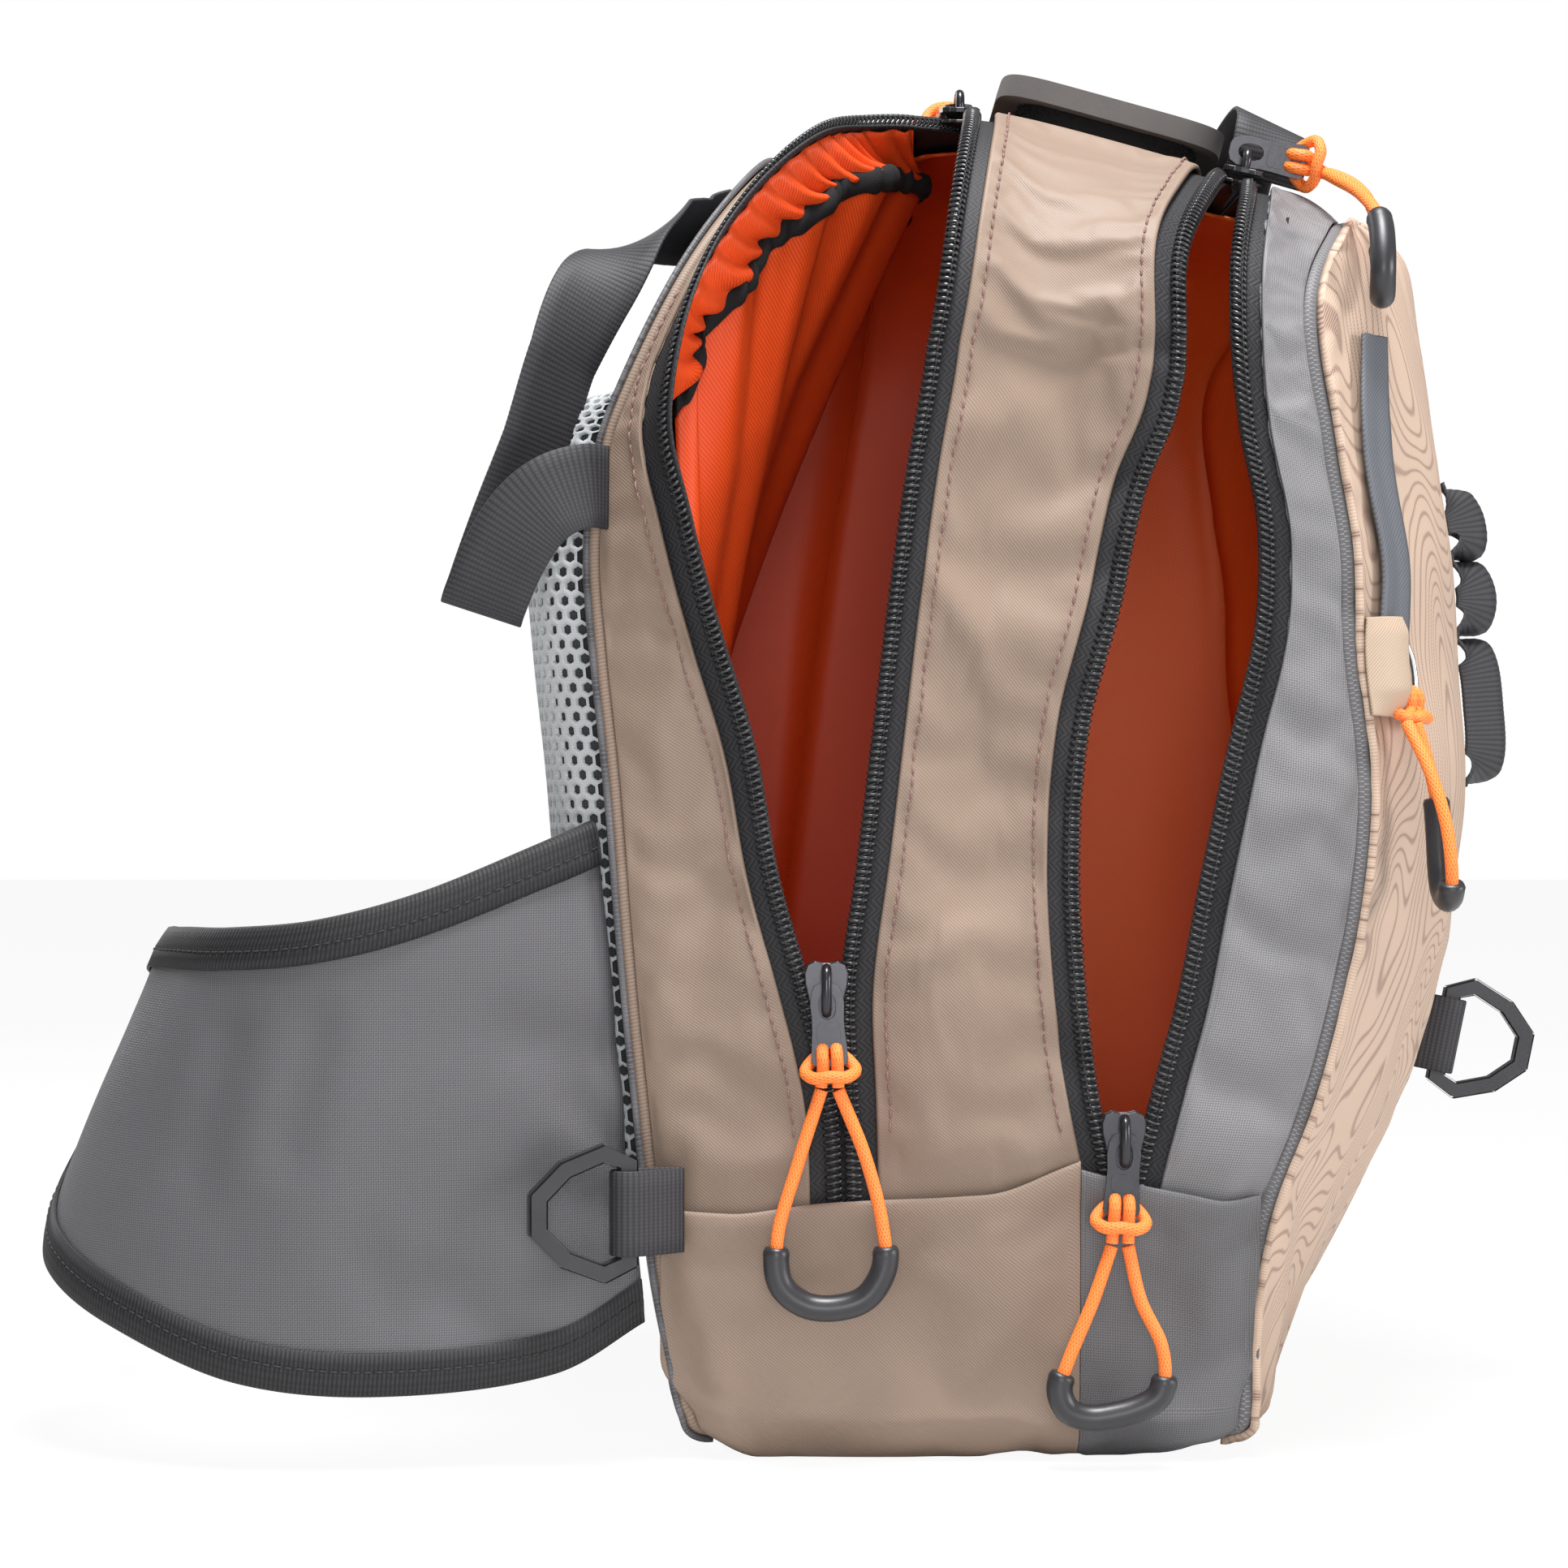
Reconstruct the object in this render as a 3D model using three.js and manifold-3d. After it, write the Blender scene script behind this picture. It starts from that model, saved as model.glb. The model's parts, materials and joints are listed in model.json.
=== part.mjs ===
// Fishing pack with two compartments, standing on its base with both zips open on the near side.
// Millimetres, +Z up, +X to the front panel, -Y to the near side, origin at the centre of the base.
import * as THREE from 'three'
import { mergeVertices } from 'three/addons/utils/BufferGeometryUtils.js'
import Module from 'manifold-3d'

const wasm = await Module()
wasm.setup()

// Driving dimensions of the shell
const halfWidth = 130
const sideBulge = 5
const crownHeight = 418
const crownX = -4
const crownFall = 0.3
const crownSoftness = 20
const cornerRadius = 85
const baseRadius = 16
const bootTop = 1.2
const bootJointX = 29
const edgeRoll = 5
const rollReach = 14
const crowning = 2.4
const backBulge = -5
const zipEnd = 0.14

// Wall thicknesses and the gap between sewn pieces
const cloth = 1.6
const liningCloth = 1
const panelCloth = 3
const backCloth = 2
const bootCloth = 2.2
const seamGap = 0.9
const liningInset = 6.4

// Zips: half of a closed chain, the cloth's distance from the lip, and how far the tape goes under the cloth
const coilWidth = 5.2
const clothToLip = 10
const tapeReach = 16
const tapeInset = 3.2
const tapeCloth = 0.9
const coilProud = 0.6
const lipGap = 0.4

// Webbing and cord
const webbing = 25
const webbingCloth = 1.4
const cordDiameter = 3.9
const gripDiameter = 7.8

// Seams up the near side. Column at: 0 to 1 round the bottom corner, 1 to 2 up the side, 2 to 3 round
// the top. The others are x of the back seam, the four zip lips and the front seam, how far the rear
// lip flares out, and how far the front panel stands out from its seam at mid width.
const sections = [
  { at: 0.0, back: -77, lipA: -41, lipB: -41, lipC: 41, lipD: 41, front: 69, flare: 0, dome: 12 },
  { at: 0.5, back: -84, lipA: -41, lipB: -41, lipC: 41, lipD: 41, front: 76, flare: 0, dome: 14 },
  { at: 1.0, back: -87, lipA: -41, lipB: -41, lipC: 41, lipD: 41, front: 77, flare: 0, dome: 19 },
  { at: 1.11, back: -93, lipA: -41, lipB: -41, lipC: 41, lipD: 41, front: 78, flare: 0, dome: 33 },
  { at: 1.2, back: -96, lipA: -41, lipB: -41, lipC: 41, lipD: 42, front: 83, flare: 0, dome: 41 },
  { at: 1.3, back: -99, lipA: -43, lipB: -42, lipC: 35, lipD: 49, front: 94, flare: 0, dome: 44 },
  { at: 1.4, back: -102, lipA: -50, lipB: -43, lipC: 31, lipD: 57, front: 102, flare: 0, dome: 46 },
  { at: 1.52, back: -105, lipA: -60, lipB: -38, lipC: 29, lipD: 64, front: 109, flare: 2, dome: 48 },
  { at: 1.65, back: -108, lipA: -67, lipB: -33, lipC: 32, lipD: 72, front: 112, flare: 5, dome: 50 },
  { at: 1.78, back: -112, lipA: -78, lipB: -28, lipC: 42, lipD: 81, front: 108, flare: 10, dome: 52 },
  { at: 1.89, back: -114, lipA: -86, lipB: -23, lipC: 49, lipD: 82, front: 107, flare: 15, dome: 51 },
  { at: 2.0, back: -110, lipA: -92, lipB: -17, lipC: 60, lipD: 76, front: 102, flare: 20, dome: 52 },
  { at: 2.33, back: -90, lipA: -80, lipB: -10, lipC: 63, lipD: 75, front: 98, flare: 15, dome: 50 },
  { at: 2.67, back: -68, lipA: -50, lipB: -4, lipC: 76, lipD: 82, front: 110, flare: 9, dome: 34 },
  { at: 2.88, back: -60, lipA: -33, lipB: -2, lipC: 83, lipD: 86, front: 117, flare: 3, dome: 20 },
  { at: 3.0, back: -58, lipA: -14, lipB: -1, lipC: 86, lipD: 88, front: 120, flare: 0, dome: 15 }
]

// Dents and folds of the near side: place up the side, x, depth, and reach up and across
const dents = [
  { at: 1.95, x: 28, depth: 7, up: 0.16, across: 20 },
  { at: 2.35, x: 44, depth: -5, up: 0.2, across: 16 },
  { at: 1.62, x: 5, depth: 5, up: 0.2, across: 15 },
  { at: 1.4, x: -8, depth: -4, up: 0.14, across: 18 },
  { at: 1.5, x: -84, depth: 5, up: 0.2, across: 12 },
  { at: 1.75, x: 92, depth: 5, up: 0.16, across: 16 },
  { at: 1.45, x: 84, depth: 4, up: 0.16, across: 17 },
  { at: 2.1, x: 90, depth: 4, up: 0.2, across: 17 },
  { at: 1.1, x: -30, depth: 4, up: 0.08, across: 26 },
  { at: 1.12, x: 56, depth: 3, up: 0.08, across: 14 }
]

const paint = (color, roughness, metalness = 0) =>
  new THREE.MeshStandardMaterial({ color, roughness, metalness })
const taupe = paint('#b39a86', 0.55)
const grey = paint('#868686', 0.8)
const wingGrey = paint('#77777a', 0.8)
const print = paint('#c0a995', 0.75)
const orange = paint('#e2571f', 0.45)
const cordOrange = paint('#f0965c', 0.7)
const blackWeb = paint('#28272a', 0.75)
const blackPlastic = paint('#1d1d1f', 0.4)
const tapeBlack = paint('#2f2e31', 0.6)
const zipGrey = paint('#8d9299', 0.6)
const meshGrey = paint('#979b9b', 0.9)
const foamGrey = paint('#9a9491', 0.85)
const gunmetal = paint('#3a3a3d', 0.35, 0.9)

const pack = new THREE.Group()
const lerp = THREE.MathUtils.lerp
const vec = (x, y, z) => new THREE.Vector3(x, y, z)

function place(name, geometry, material) {
  const mesh = new THREE.Mesh(geometry, material)
  mesh.name = name
  pack.add(mesh)
  return mesh
}

// Smooth value of one column of a table whose rows are sorted by the key column
function smooth(table, key, name, value) {
  const last = table.length - 1
  let i = 0
  while (i < last - 1 && value > table[i + 1][key]) i++
  const slope = (k) => {
    const before = table[Math.max(k - 1, 0)]
    const after = table[Math.min(k + 1, last)]
    return (after[name] - before[name]) / (after[key] - before[key])
  }
  const step = table[i + 1][key] - table[i][key]
  const t = THREE.MathUtils.clamp((value - table[i][key]) / step, 0, 1)
  const ease = t * t * (3 - 2 * t)
  const lead = t * (1 - t) * (1 - t) * step * slope(i)
  const trail = t * t * (t - 1) * step * slope(i + 1)
  return lerp(table[i][name], table[i + 1][name], ease) + lead + trail
}
const section = (name, at) => smooth(sections, 'at', name, at)

// A spot on the loop round the pack: turn 0 to 3 up the near side, 3 to 4 over the crown, 4 to 7 down
// the far side
function spotAt(turn) {
  if (turn <= 3) return { at: turn, far: 0 }
  if (turn < 4) return { at: 3, far: turn - 3 }
  return { at: 7 - turn, far: 1 }
}

// How much of a panel's bulge there is at a share of the width
const crownAt = (share) => 1 - Math.pow(Math.abs(2 * share - 1), crowning)

// x of a seam at a spot; both zips are closed on the far side, the main one from its slider on the crown
function seam(name, spot) {
  const near = section(name, spot.at)
  if (name === 'front') return near + section('dome', spot.at) * crownAt(spot.far)
  if (name === 'back') return near + backBulge * crownAt(spot.far)
  if (name === 'lipA') return lerp(near, section('lipB', spot.at), Math.min(spot.far / zipEnd, 1))
  let far = near
  if (name === 'lipC' || name === 'lipD') far = (section('lipC', spot.at) + section('lipD', spot.at)) / 2
  if (name === 'flare') far = 0
  return lerp(near, far, spot.far)
}

// Point of the shell's outside at a spot and an x, moved out along the outline by out
function skin(spot, x, out = 0) {
  const crown = crownHeight - crownFall * (Math.hypot(x - crownX, crownSoftness) - crownSoftness)
  const part = Math.min(Math.floor(spot.at), 2)
  const t = spot.at - part
  const angle = t * Math.PI / 2
  const outlines = [
    { y: halfWidth - baseRadius + baseRadius * Math.sin(angle), z: baseRadius * (1 - Math.cos(angle)),
      ny: Math.sin(angle), nz: -Math.cos(angle) },
    { y: halfWidth + sideBulge * Math.sin(t * Math.PI), z: lerp(baseRadius, crown - cornerRadius, t),
      ny: 1, nz: 0 },
    { y: halfWidth - cornerRadius * (1 - Math.cos(angle)), z: crown - cornerRadius * (1 - Math.sin(angle)),
      ny: Math.cos(angle), nz: Math.sin(angle) }
  ]
  const outline = outlines[part]
  const half = outline.y + out * outline.ny
  return vec(x, lerp(-half, half, spot.far), outline.z + out * outline.nz)
}

function dentAt(spot, x) {
  let depth = 0
  for (const dent of dents) {
    const up = (spot.at - dent.at) / dent.up
    const across = (x - dent.x) / dent.across
    depth += dent.depth * Math.exp(-up * up - across * across)
  }
  return -depth * (1 - spot.far)
}

// Edges near the back and front seams roll inwards
function rollAt(spot, x) {
  const reach = Math.min(x - seam('back', spot), seam('front', spot) - x)
  const q = 1 - THREE.MathUtils.clamp(reach / rollReach, 0, 1)
  return -edgeRoll * q * q
}

// The rear gusset flares out towards its lip
function flareAt(spot, x) {
  const back = seam('back', spot)
  const lip = seam('lipA', spot)
  if (x > lip + 1) return 0
  const q = THREE.MathUtils.clamp((x - back) / (lip - back), 0, 1)
  return seam('flare', spot) * q * q
}

const outAt = (spot, x) => dentAt(spot, x) + rollAt(spot, x) + flareAt(spot, x)

// Closed solid between a grid of outside points and the same grid moved in; rows run along, columns across,
// and across x along points out. inset is the depth of the outside and depth the thickness, by column.
function wallGeometry(grid, depth, inset = 0) {
  const rows = grid.length
  const columns = grid[0].length
  const byColumn = (value, j) => Array.isArray(value) ? value[j] : value
  const outer = []
  const inner = []
  for (let i = 0; i < rows; i++) {
    for (let j = 0; j < columns; j++) {
      const along = grid[Math.min(i + 1, rows - 1)][j].clone().sub(grid[Math.max(i - 1, 0)][j])
      const across = grid[i][Math.min(j + 1, columns - 1)].clone().sub(grid[i][Math.max(j - 1, 0)])
      const normal = across.cross(along).normalize()
      outer.push(grid[i][j].clone().addScaledVector(normal, -byColumn(inset, j)))
      inner.push(grid[i][j].clone().addScaledVector(normal, -byColumn(inset, j) - byColumn(depth, j)))
    }
  }
  const points = [...outer, ...inner]
  const index = []
  const quad = (a, b, c, d) => index.push(a, b, c, a, c, d)
  const at = (i, j) => i * columns + j
  const half = rows * columns
  for (let i = 0; i < rows - 1; i++) {
    for (let j = 0; j < columns - 1; j++) {
      quad(at(i, j), at(i, j + 1), at(i + 1, j + 1), at(i + 1, j))
      quad(half + at(i, j), half + at(i + 1, j), half + at(i + 1, j + 1), half + at(i, j + 1))
    }
  }
  const rim = []
  for (let j = 0; j < columns - 1; j++) rim.push(at(0, j))
  for (let i = 0; i < rows - 1; i++) rim.push(at(i, columns - 1))
  for (let j = columns - 1; j > 0; j--) rim.push(at(rows - 1, j))
  for (let i = rows - 1; i > 0; i--) rim.push(at(i, 0))
  rim.forEach((a, k) => {
    const b = rim[(k + 1) % rim.length]
    quad(a, half + a, half + b, b)
  })
  const geometry = new THREE.BufferGeometry()
  const values = points.flatMap((p) => [p.x, p.y, p.z])
  geometry.setAttribute('position', new THREE.Float32BufferAttribute(values, 3))
  geometry.setIndex(index)
  return geometry
}

const span = (from, to, steps) => Array.from({ length: steps + 1 }, (_, k) => lerp(from, to, k / steps))

// Strip of the shell from one seam to another, between two turns of the loop
function stripGrid(turns, columns, from, to) {
  return turns.map((turn) => {
    const spot = spotAt(turn)
    return columns.map((q) => {
      const x = lerp(from(spot), to(spot), q)
      return skin(spot, x, outAt(spot, x))
    })
  })
}

// Turns of the loop above the boot: fine on the near side, coarser over the crown and down the far side
const archStart = bootTop + 0.002
const crownTurns = [3 + zipEnd, 3.32, 3.5, 3.68, 3.84]
const archTurns = [...span(archStart, 3, 14), ...crownTurns, ...span(4, 7 - archStart, 7)]
const liningTurns = [...span(archStart, 3, 10), 3.32, 3.68, ...span(4, 7 - archStart, 6)]

const toSeam = (name, offset) => (spot) => seam(name, spot) + offset
// Where the flared lip comes close to the back seam, cloth and tape share what is there
const rearShare = (spot, reach, most) => Math.min(reach, most * (seam('lipA', spot) - seam('back', spot)))
const rearEdge = (spot) => seam('lipA', spot) - rearShare(spot, clothToLip, 0.74)
const mainRear = toSeam('lipB', clothToLip)
const mainFront = toSeam('lipC', -clothToLip)
const greyRear = toSeam('lipD', clothToLip)

// Gussets
const rollColumns = [0, 0.16, 0.5, 1]
const toBack = toSeam('back', 0)
const toFront = toSeam('front', 0)
place('rear_gusset', wallGeometry(stripGrid(archTurns, rollColumns, toBack, rearEdge), cloth), taupe)
place('main_gusset', wallGeometry(stripGrid(archTurns, span(0, 1, 4), mainRear, mainFront), cloth), taupe)
const greyGrid = stripGrid(archTurns, [0, 0.35, 0.7, 1], greyRear, toFront)
place('front_gusset', wallGeometry(greyGrid, cloth), grey)

// Linings of the gussets stop short of the zip tapes
const liningStop = (spot) => seam('lipA', spot) - rearShare(spot, tapeReach + 2, 0.85)
const liningRear = stripGrid(liningTurns, [0, 0.4, 1], toSeam('back', 2), liningStop)
place('lining_rear', wallGeometry(liningRear, liningCloth, liningInset), orange)
const mainStart = toSeam('lipB', tapeReach + 2)
const mainStop = toSeam('lipC', -tapeReach - 9)
const liningMain = stripGrid(liningTurns, span(0, 1, 2), mainStart, mainStop)
place('lining_main', wallGeometry(liningMain, liningCloth, liningInset), orange)
const liningFront = stripGrid(liningTurns, span(0, 1, 1), greyRear, toSeam('front', -5))
place('lining_front', wallGeometry(liningFront, liningCloth, liningInset), orange)

// Boots run from the far side under the base and up the near side
const bootTurns = [bootTop - 0.002, 1.1, 1, 0.5, 0]
function bootGrid(columns, from, to) {
  const far = bootTurns.map((at) => ({ at, far: 1 }))
  const under = [0.84, 0.68, 0.5, 0.32, 0.16].map((share) => ({ at: 0, far: share }))
  const near = bootTurns.map((at) => ({ at, far: 0 })).reverse()
  return [...far, ...under, ...near].map((spot) => columns.map((q) => {
    const x = lerp(from(spot), to(spot), q)
    return skin(spot, x, outAt(spot, x))
  }))
}
const bootColumns = [0, 0.07, 0.15, 0.55, 1]
const toJoint = (offset) => () => bootJointX + offset
place('boot_rear', wallGeometry(bootGrid(bootColumns, toBack, toJoint(-0.2)), bootCloth), taupe)
place('boot_front', wallGeometry(bootGrid([0, 0.5, 0.75, 0.88, 1], toJoint(0.2), toFront), bootCloth), grey)
const floorMain = bootGrid([0, 0.5, 1], toSeam('back', 4), toJoint(-12))
place('floor_main', wallGeometry(floorMain, liningCloth, liningInset), orange)
const floorFront = bootGrid([0, 0.5, 1], toJoint(-4), toSeam('front', -4))
place('floor_front', wallGeometry(floorFront, liningCloth, liningInset), orange)

// Panels are rows from the near seam to the far seam, crowned at mid width
function panelPoint(name, at, share, offset, inset, dome) {
  const ends = [0, 1].map((far) => {
    const spot = { at, far }
    const x = seam(name, spot)
    return skin(spot, x, outAt(spot, x + offset) - inset).setX(x + offset)
  })
  const point = ends[0].lerp(ends[1], share)
  point.x += dome(at) * crownAt(share)
  return point
}
const panelGrid = (rows, columns, point) => rows.map((at) => columns.map((share) => point(at, share)))
const panelRows = [0, 0.5, 1, 1.1, 1.2, 1.35, 1.5, 1.65, 1.8, 1.95, 2.15, 2.4, 2.7, 3]
const coarseRows = [0.4, 1, 1.2, 1.45, 1.7, 1.95, 2.3, 2.65, 2.93]
const edgeColumns = [0, 0.06, 0.16, 0.32, 0.5, 0.68, 0.84, 0.94, 1]
const coarseColumns = [0, 0.12, 0.35, 0.65, 0.88, 1]
const reversed = (columns) => [...columns].reverse()
const frontOffset = panelCloth + seamGap
const backOffset = -backCloth - seamGap - 0.3
const frontDome = (at) => section('dome', at)
const frontPoint = (at, share) => panelPoint('front', at, share, frontOffset, 0, frontDome)
const backPoint = (at, share) => panelPoint('back', at, share, backOffset, 0, () => backBulge)
place('front_panel', wallGeometry(panelGrid(panelRows, edgeColumns, frontPoint), panelCloth), print)
place('back_panel', wallGeometry(panelGrid(panelRows, reversed(edgeColumns), backPoint), backCloth), grey)
const liningEdge = 8.5
const liningBackPoint = (at, share) => panelPoint('back', at, share, 2, liningEdge, () => backBulge + 1)
const liningBackGrid = panelGrid(coarseRows, reversed(coarseColumns), liningBackPoint)
place('lining_back', wallGeometry(liningBackGrid, liningCloth), orange)
const liningDome = (at) => frontDome(at) * 0.92
const liningPanelPoint = (at, share) => panelPoint('front', at, share, -2, liningEdge, liningDome)
const liningPanelGrid = panelGrid(coarseRows, coarseColumns, liningPanelPoint)
place('lining_panel', wallGeometry(liningPanelGrid, liningCloth), orange)

// Divider between the compartments, sewn in where the second zip starts
const dividerOffset = -tapeReach - 3
const dividerPoint = (at, share) => panelPoint('lipC', at, share, dividerOffset, liningEdge - 1, () => 4)
const dividerRows = [1.2, 1.45, 1.7, 1.95, 2.3, 2.65, 2.93]
const floorRows = [0.4, 1]
const dividerGrid = panelGrid([...floorRows, ...dividerRows], coarseColumns, dividerPoint)
place('divider', wallGeometry(dividerGrid, liningCloth), orange)

// Inner pocket on the back wall, its top edge gathered on an elastic that arches behind the main zip
const pocketEdge = [
  { share: 0, x: -92, y: -113, z: 320 },
  { share: 0.12, x: -77, y: -104, z: 352 },
  { share: 0.25, x: -50, y: -83, z: 384 },
  { share: 0.37, x: -28, y: -58, z: 398 },
  { share: 0.5, x: -15, y: 0, z: 404 },
  { share: 0.63, x: -28, y: 58, z: 398 },
  { share: 0.75, x: -50, y: 83, z: 384 },
  { share: 0.88, x: -77, y: 104, z: 352 },
  { share: 1, x: -92, y: 113, z: 320 }
]
const elasticTall = 12
const gatherDepth = 2.5
const gatherCount = 9
const pocketBottom = 1.42
const pocketHang = 2.2
const edgePoint = (share) => {
  const gather = gatherDepth * Math.sin(share * gatherCount * 2 * Math.PI)
  const [x, y, z] = ['x', 'y', 'z'].map((axis) => smooth(pocketEdge, 'share', axis, share))
  return vec(x + gather, y, z)
}
const pocketGrid = [0.97, 0.8, 0.55, 0.3, 0].map((drop) => span(1, 0, 10).map((share) => {
  const hem = panelPoint('back', pocketBottom, share, 14, liningEdge + 6, () => backBulge)
  const edge = edgePoint(share)
  const point = hem.clone().lerp(edge, drop)
  point.x = lerp(hem.x, edge.x, Math.pow(drop, pocketHang))
  point.z -= elasticTall * drop
  return point
})).reverse()
place('inner_pocket', wallGeometry(pocketGrid, liningCloth), orange)
const elasticRow = (rise) => span(1, 0, 16).map((share) => edgePoint(share).add(vec(0, 0, rise)))
const elasticGrid = [elasticRow(1 - elasticTall), elasticRow(1)]
place('pocket_elastic', wallGeometry(elasticGrid, 1.6), tapeBlack)

// Zip tapes with their coils: columns go from under the cloth to the lip, where the coil stands proud
const tapeSteps = [
  { reach: tapeReach, inset: tapeInset, depth: tapeCloth },
  { reach: coilWidth + 0.8, inset: tapeInset, depth: tapeCloth },
  { reach: coilWidth, inset: -coilProud, depth: coilProud + tapeInset + tapeCloth },
  { reach: lipGap, inset: -coilProud, depth: coilProud + tapeInset + tapeCloth }
]
function zipGeometry(lip, side) {
  const steps = side < 0 ? tapeSteps : [...tapeSteps].reverse()
  const grid = archTurns.map((turn) => {
    const spot = spotAt(turn)
    return steps.map((step) => {
      const reach = lip === 'lipA' ? rearShare(spot, step.reach, 0.82) : step.reach
      const x = seam(lip, spot) + side * reach
      return skin(spot, x, outAt(spot, x))
    })
  })
  return wallGeometry(grid, steps.map((step) => step.depth), steps.map((step) => step.inset))
}
for (const [name, lip, side] of [
  ['main_zip_rear', 'lipA', -1], ['main_zip_front', 'lipB', 1],
  ['second_zip_rear', 'lipC', -1], ['second_zip_front', 'lipD', 1]
]) place(name, zipGeometry(lip, side), tapeBlack)

// Closed solid between two matching grids, the first of them outside
function loftGeometry(outerGrid, innerGrid) {
  const geometry = wallGeometry(outerGrid, 1)
  const position = geometry.getAttribute('position')
  const inner = innerGrid.flat()
  inner.forEach((p, k) => position.setXYZ(inner.length + k, p.x, p.y, p.z))
  return geometry
}

// Spacer-mesh back pad: it stands off the panel in the middle and is rounded down to a thin edge
const padThick = 18
const padWall = 6
const padEdge = 3
const padRows = [1.15, 1.18, 1.25, 1.4, 1.6, 1.8, 1.95, 2.06, 2.1]
const padColumns = [0.07, 0.09, 0.14, 0.24, 0.5, 0.76, 0.86, 0.91, 0.93]
const padRise = (t) => Math.pow(1 - Math.pow(Math.abs(2 * t - 1), 5), 0.5)
const padShare = (list, value) => (value - list[0]) / (list[list.length - 1] - list[0])
const padPoint = (at, share, wall) => {
  const rise = padRise(padShare(padRows, at)) * padRise(padShare(padColumns, share))
  const lift = Math.max(lerp(padEdge, padThick, rise) - wall, 0)
  return backPoint(at, share).add(vec(-seamGap - lift, 0, 0))
}
const padGrid = (wall) => panelGrid(padRows, reversed(padColumns), (at, share) => padPoint(at, share, wall))
place('back_pad', loftGeometry(padGrid(0), padGrid(padWall)), meshGrey)

// Webbing: a flat strip along a hand-laid path; each row has a point and the direction across the strip
function ribbonGeometry(rows, steps, width = webbing, depth = webbingCloth) {
  const centre = new THREE.CatmullRomCurve3(rows.map((row) => vec(...row.at)), false, 'centripetal')
  const sides = rows.map((row) => vec(...row.across).normalize())
  const across = new THREE.CatmullRomCurve3(sides, false, 'catmullrom')
  const grid = span(0, 1, steps).map((t) => {
    const middle = centre.getPoint(t)
    const reach = across.getPoint(t).normalize().multiplyScalar(width / 2)
    return [middle.clone().sub(reach), middle.clone().add(reach)]
  })
  return wallGeometry(grid, depth, -depth / 2)
}

// Round cord or tube along a path
const tubeSides = 6
function tubeGeometry(path, diameter, steps, bore = 0) {
  const circle = (d) => span(0, 2 * Math.PI, tubeSides).slice(0, -1)
    .map((a) => new THREE.Vector2(Math.cos(a) * d / 2, Math.sin(a) * d / 2))
  const shape = new THREE.Shape(circle(diameter))
  if (bore) shape.holes.push(new THREE.Path(circle(bore).reverse()))
  return new THREE.ExtrudeGeometry(shape, { steps, extrudePath: path })
}

function solidOf(geometry) {
  const bare = geometry.clone()
  bare.deleteAttribute('normal')
  bare.deleteAttribute('uv')
  const merged = mergeVertices(bare, 1e-3)
  return new wasm.Manifold(new wasm.Mesh({
    numProp: 3,
    vertProperties: new Float32Array(merged.getAttribute('position').array),
    triVerts: new Uint32Array(merged.getIndex().array)
  }))
}
function geometryOf(solid) {
  const mesh = solid.getMesh()
  const geometry = new THREE.BufferGeometry()
  geometry.setAttribute('position', new THREE.Float32BufferAttribute(mesh.vertProperties, 3))
  geometry.setIndex(Array.from(mesh.triVerts))
  return geometry
}

// Flat plate cut from an outline of points, with holes, lying in X and Y with its thickness up Z
function plateGeometry(outline, holes, thickness) {
  const shape = new THREE.Shape(outline.map(([x, y]) => new THREE.Vector2(x, y)))
  for (const hole of holes) shape.holes.push(new THREE.Path(hole.map(([x, y]) => new THREE.Vector2(x, y))))
  return new THREE.ExtrudeGeometry(shape, { depth: thickness, bevelEnabled: false })
}
const box = (x0, x1, y0, y1, z0, z1) => new THREE.BoxGeometry(x1 - x0, y1 - y0, z1 - z0)
  .translate((x0 + x1) / 2, (y0 + y1) / 2, (z0 + z1) / 2)

// Zip slider: a tapered plate on the chain with a bridge over it; local Y runs up the chain, Z points out
const sliderLong = 17
const sliderWide = 13
const bridgeWide = 3
function sliderGeometry() {
  const plate = plateGeometry([
    [-sliderWide / 2, sliderLong / 2], [-sliderWide / 2, 1], [-4, -sliderLong / 2],
    [4, -sliderLong / 2], [sliderWide / 2, 1], [sliderWide / 2, sliderLong / 2]
  ], [], 1.8)
  const half = bridgeWide / 2
  let solid = solidOf(plate)
  const posts = [
    box(-half, half, 3.5, 6, 1, 6), box(-half, half, -6, -3.5, 1, 6), box(-half, half, -6, 6, 5, 6.6)
  ]
  for (const post of posts) solid = solid.add(solidOf(post))
  return geometryOf(solid)
}

// Pull tab: a tapered plate with a hole over the bridge and a slot for the cord; its top edge is under
// the bridge
const tabLong = 22
const tabWide = 10
function tabGeometry() {
  const half = tabWide / 2
  const foot = half - 0.6
  const outline = [[-4, 1.5], [-half, -4], [-foot, -tabLong], [foot, -tabLong], [half, -4], [4, 1.5]]
  const hole = [[-2.4, -0.6], [2.4, -0.6], [3, -4], [2.4, -9], [-2.4, -9], [-3, -4]]
  const slot = [[-3.4, -tabLong + 5], [3.4, -tabLong + 5], [3.4, -tabLong + 2], [-3.4, -tabLong + 2]]
  return plateGeometry(outline, [hole, slot], 1.4).translate(0, 0, 2.4)
}

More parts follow.
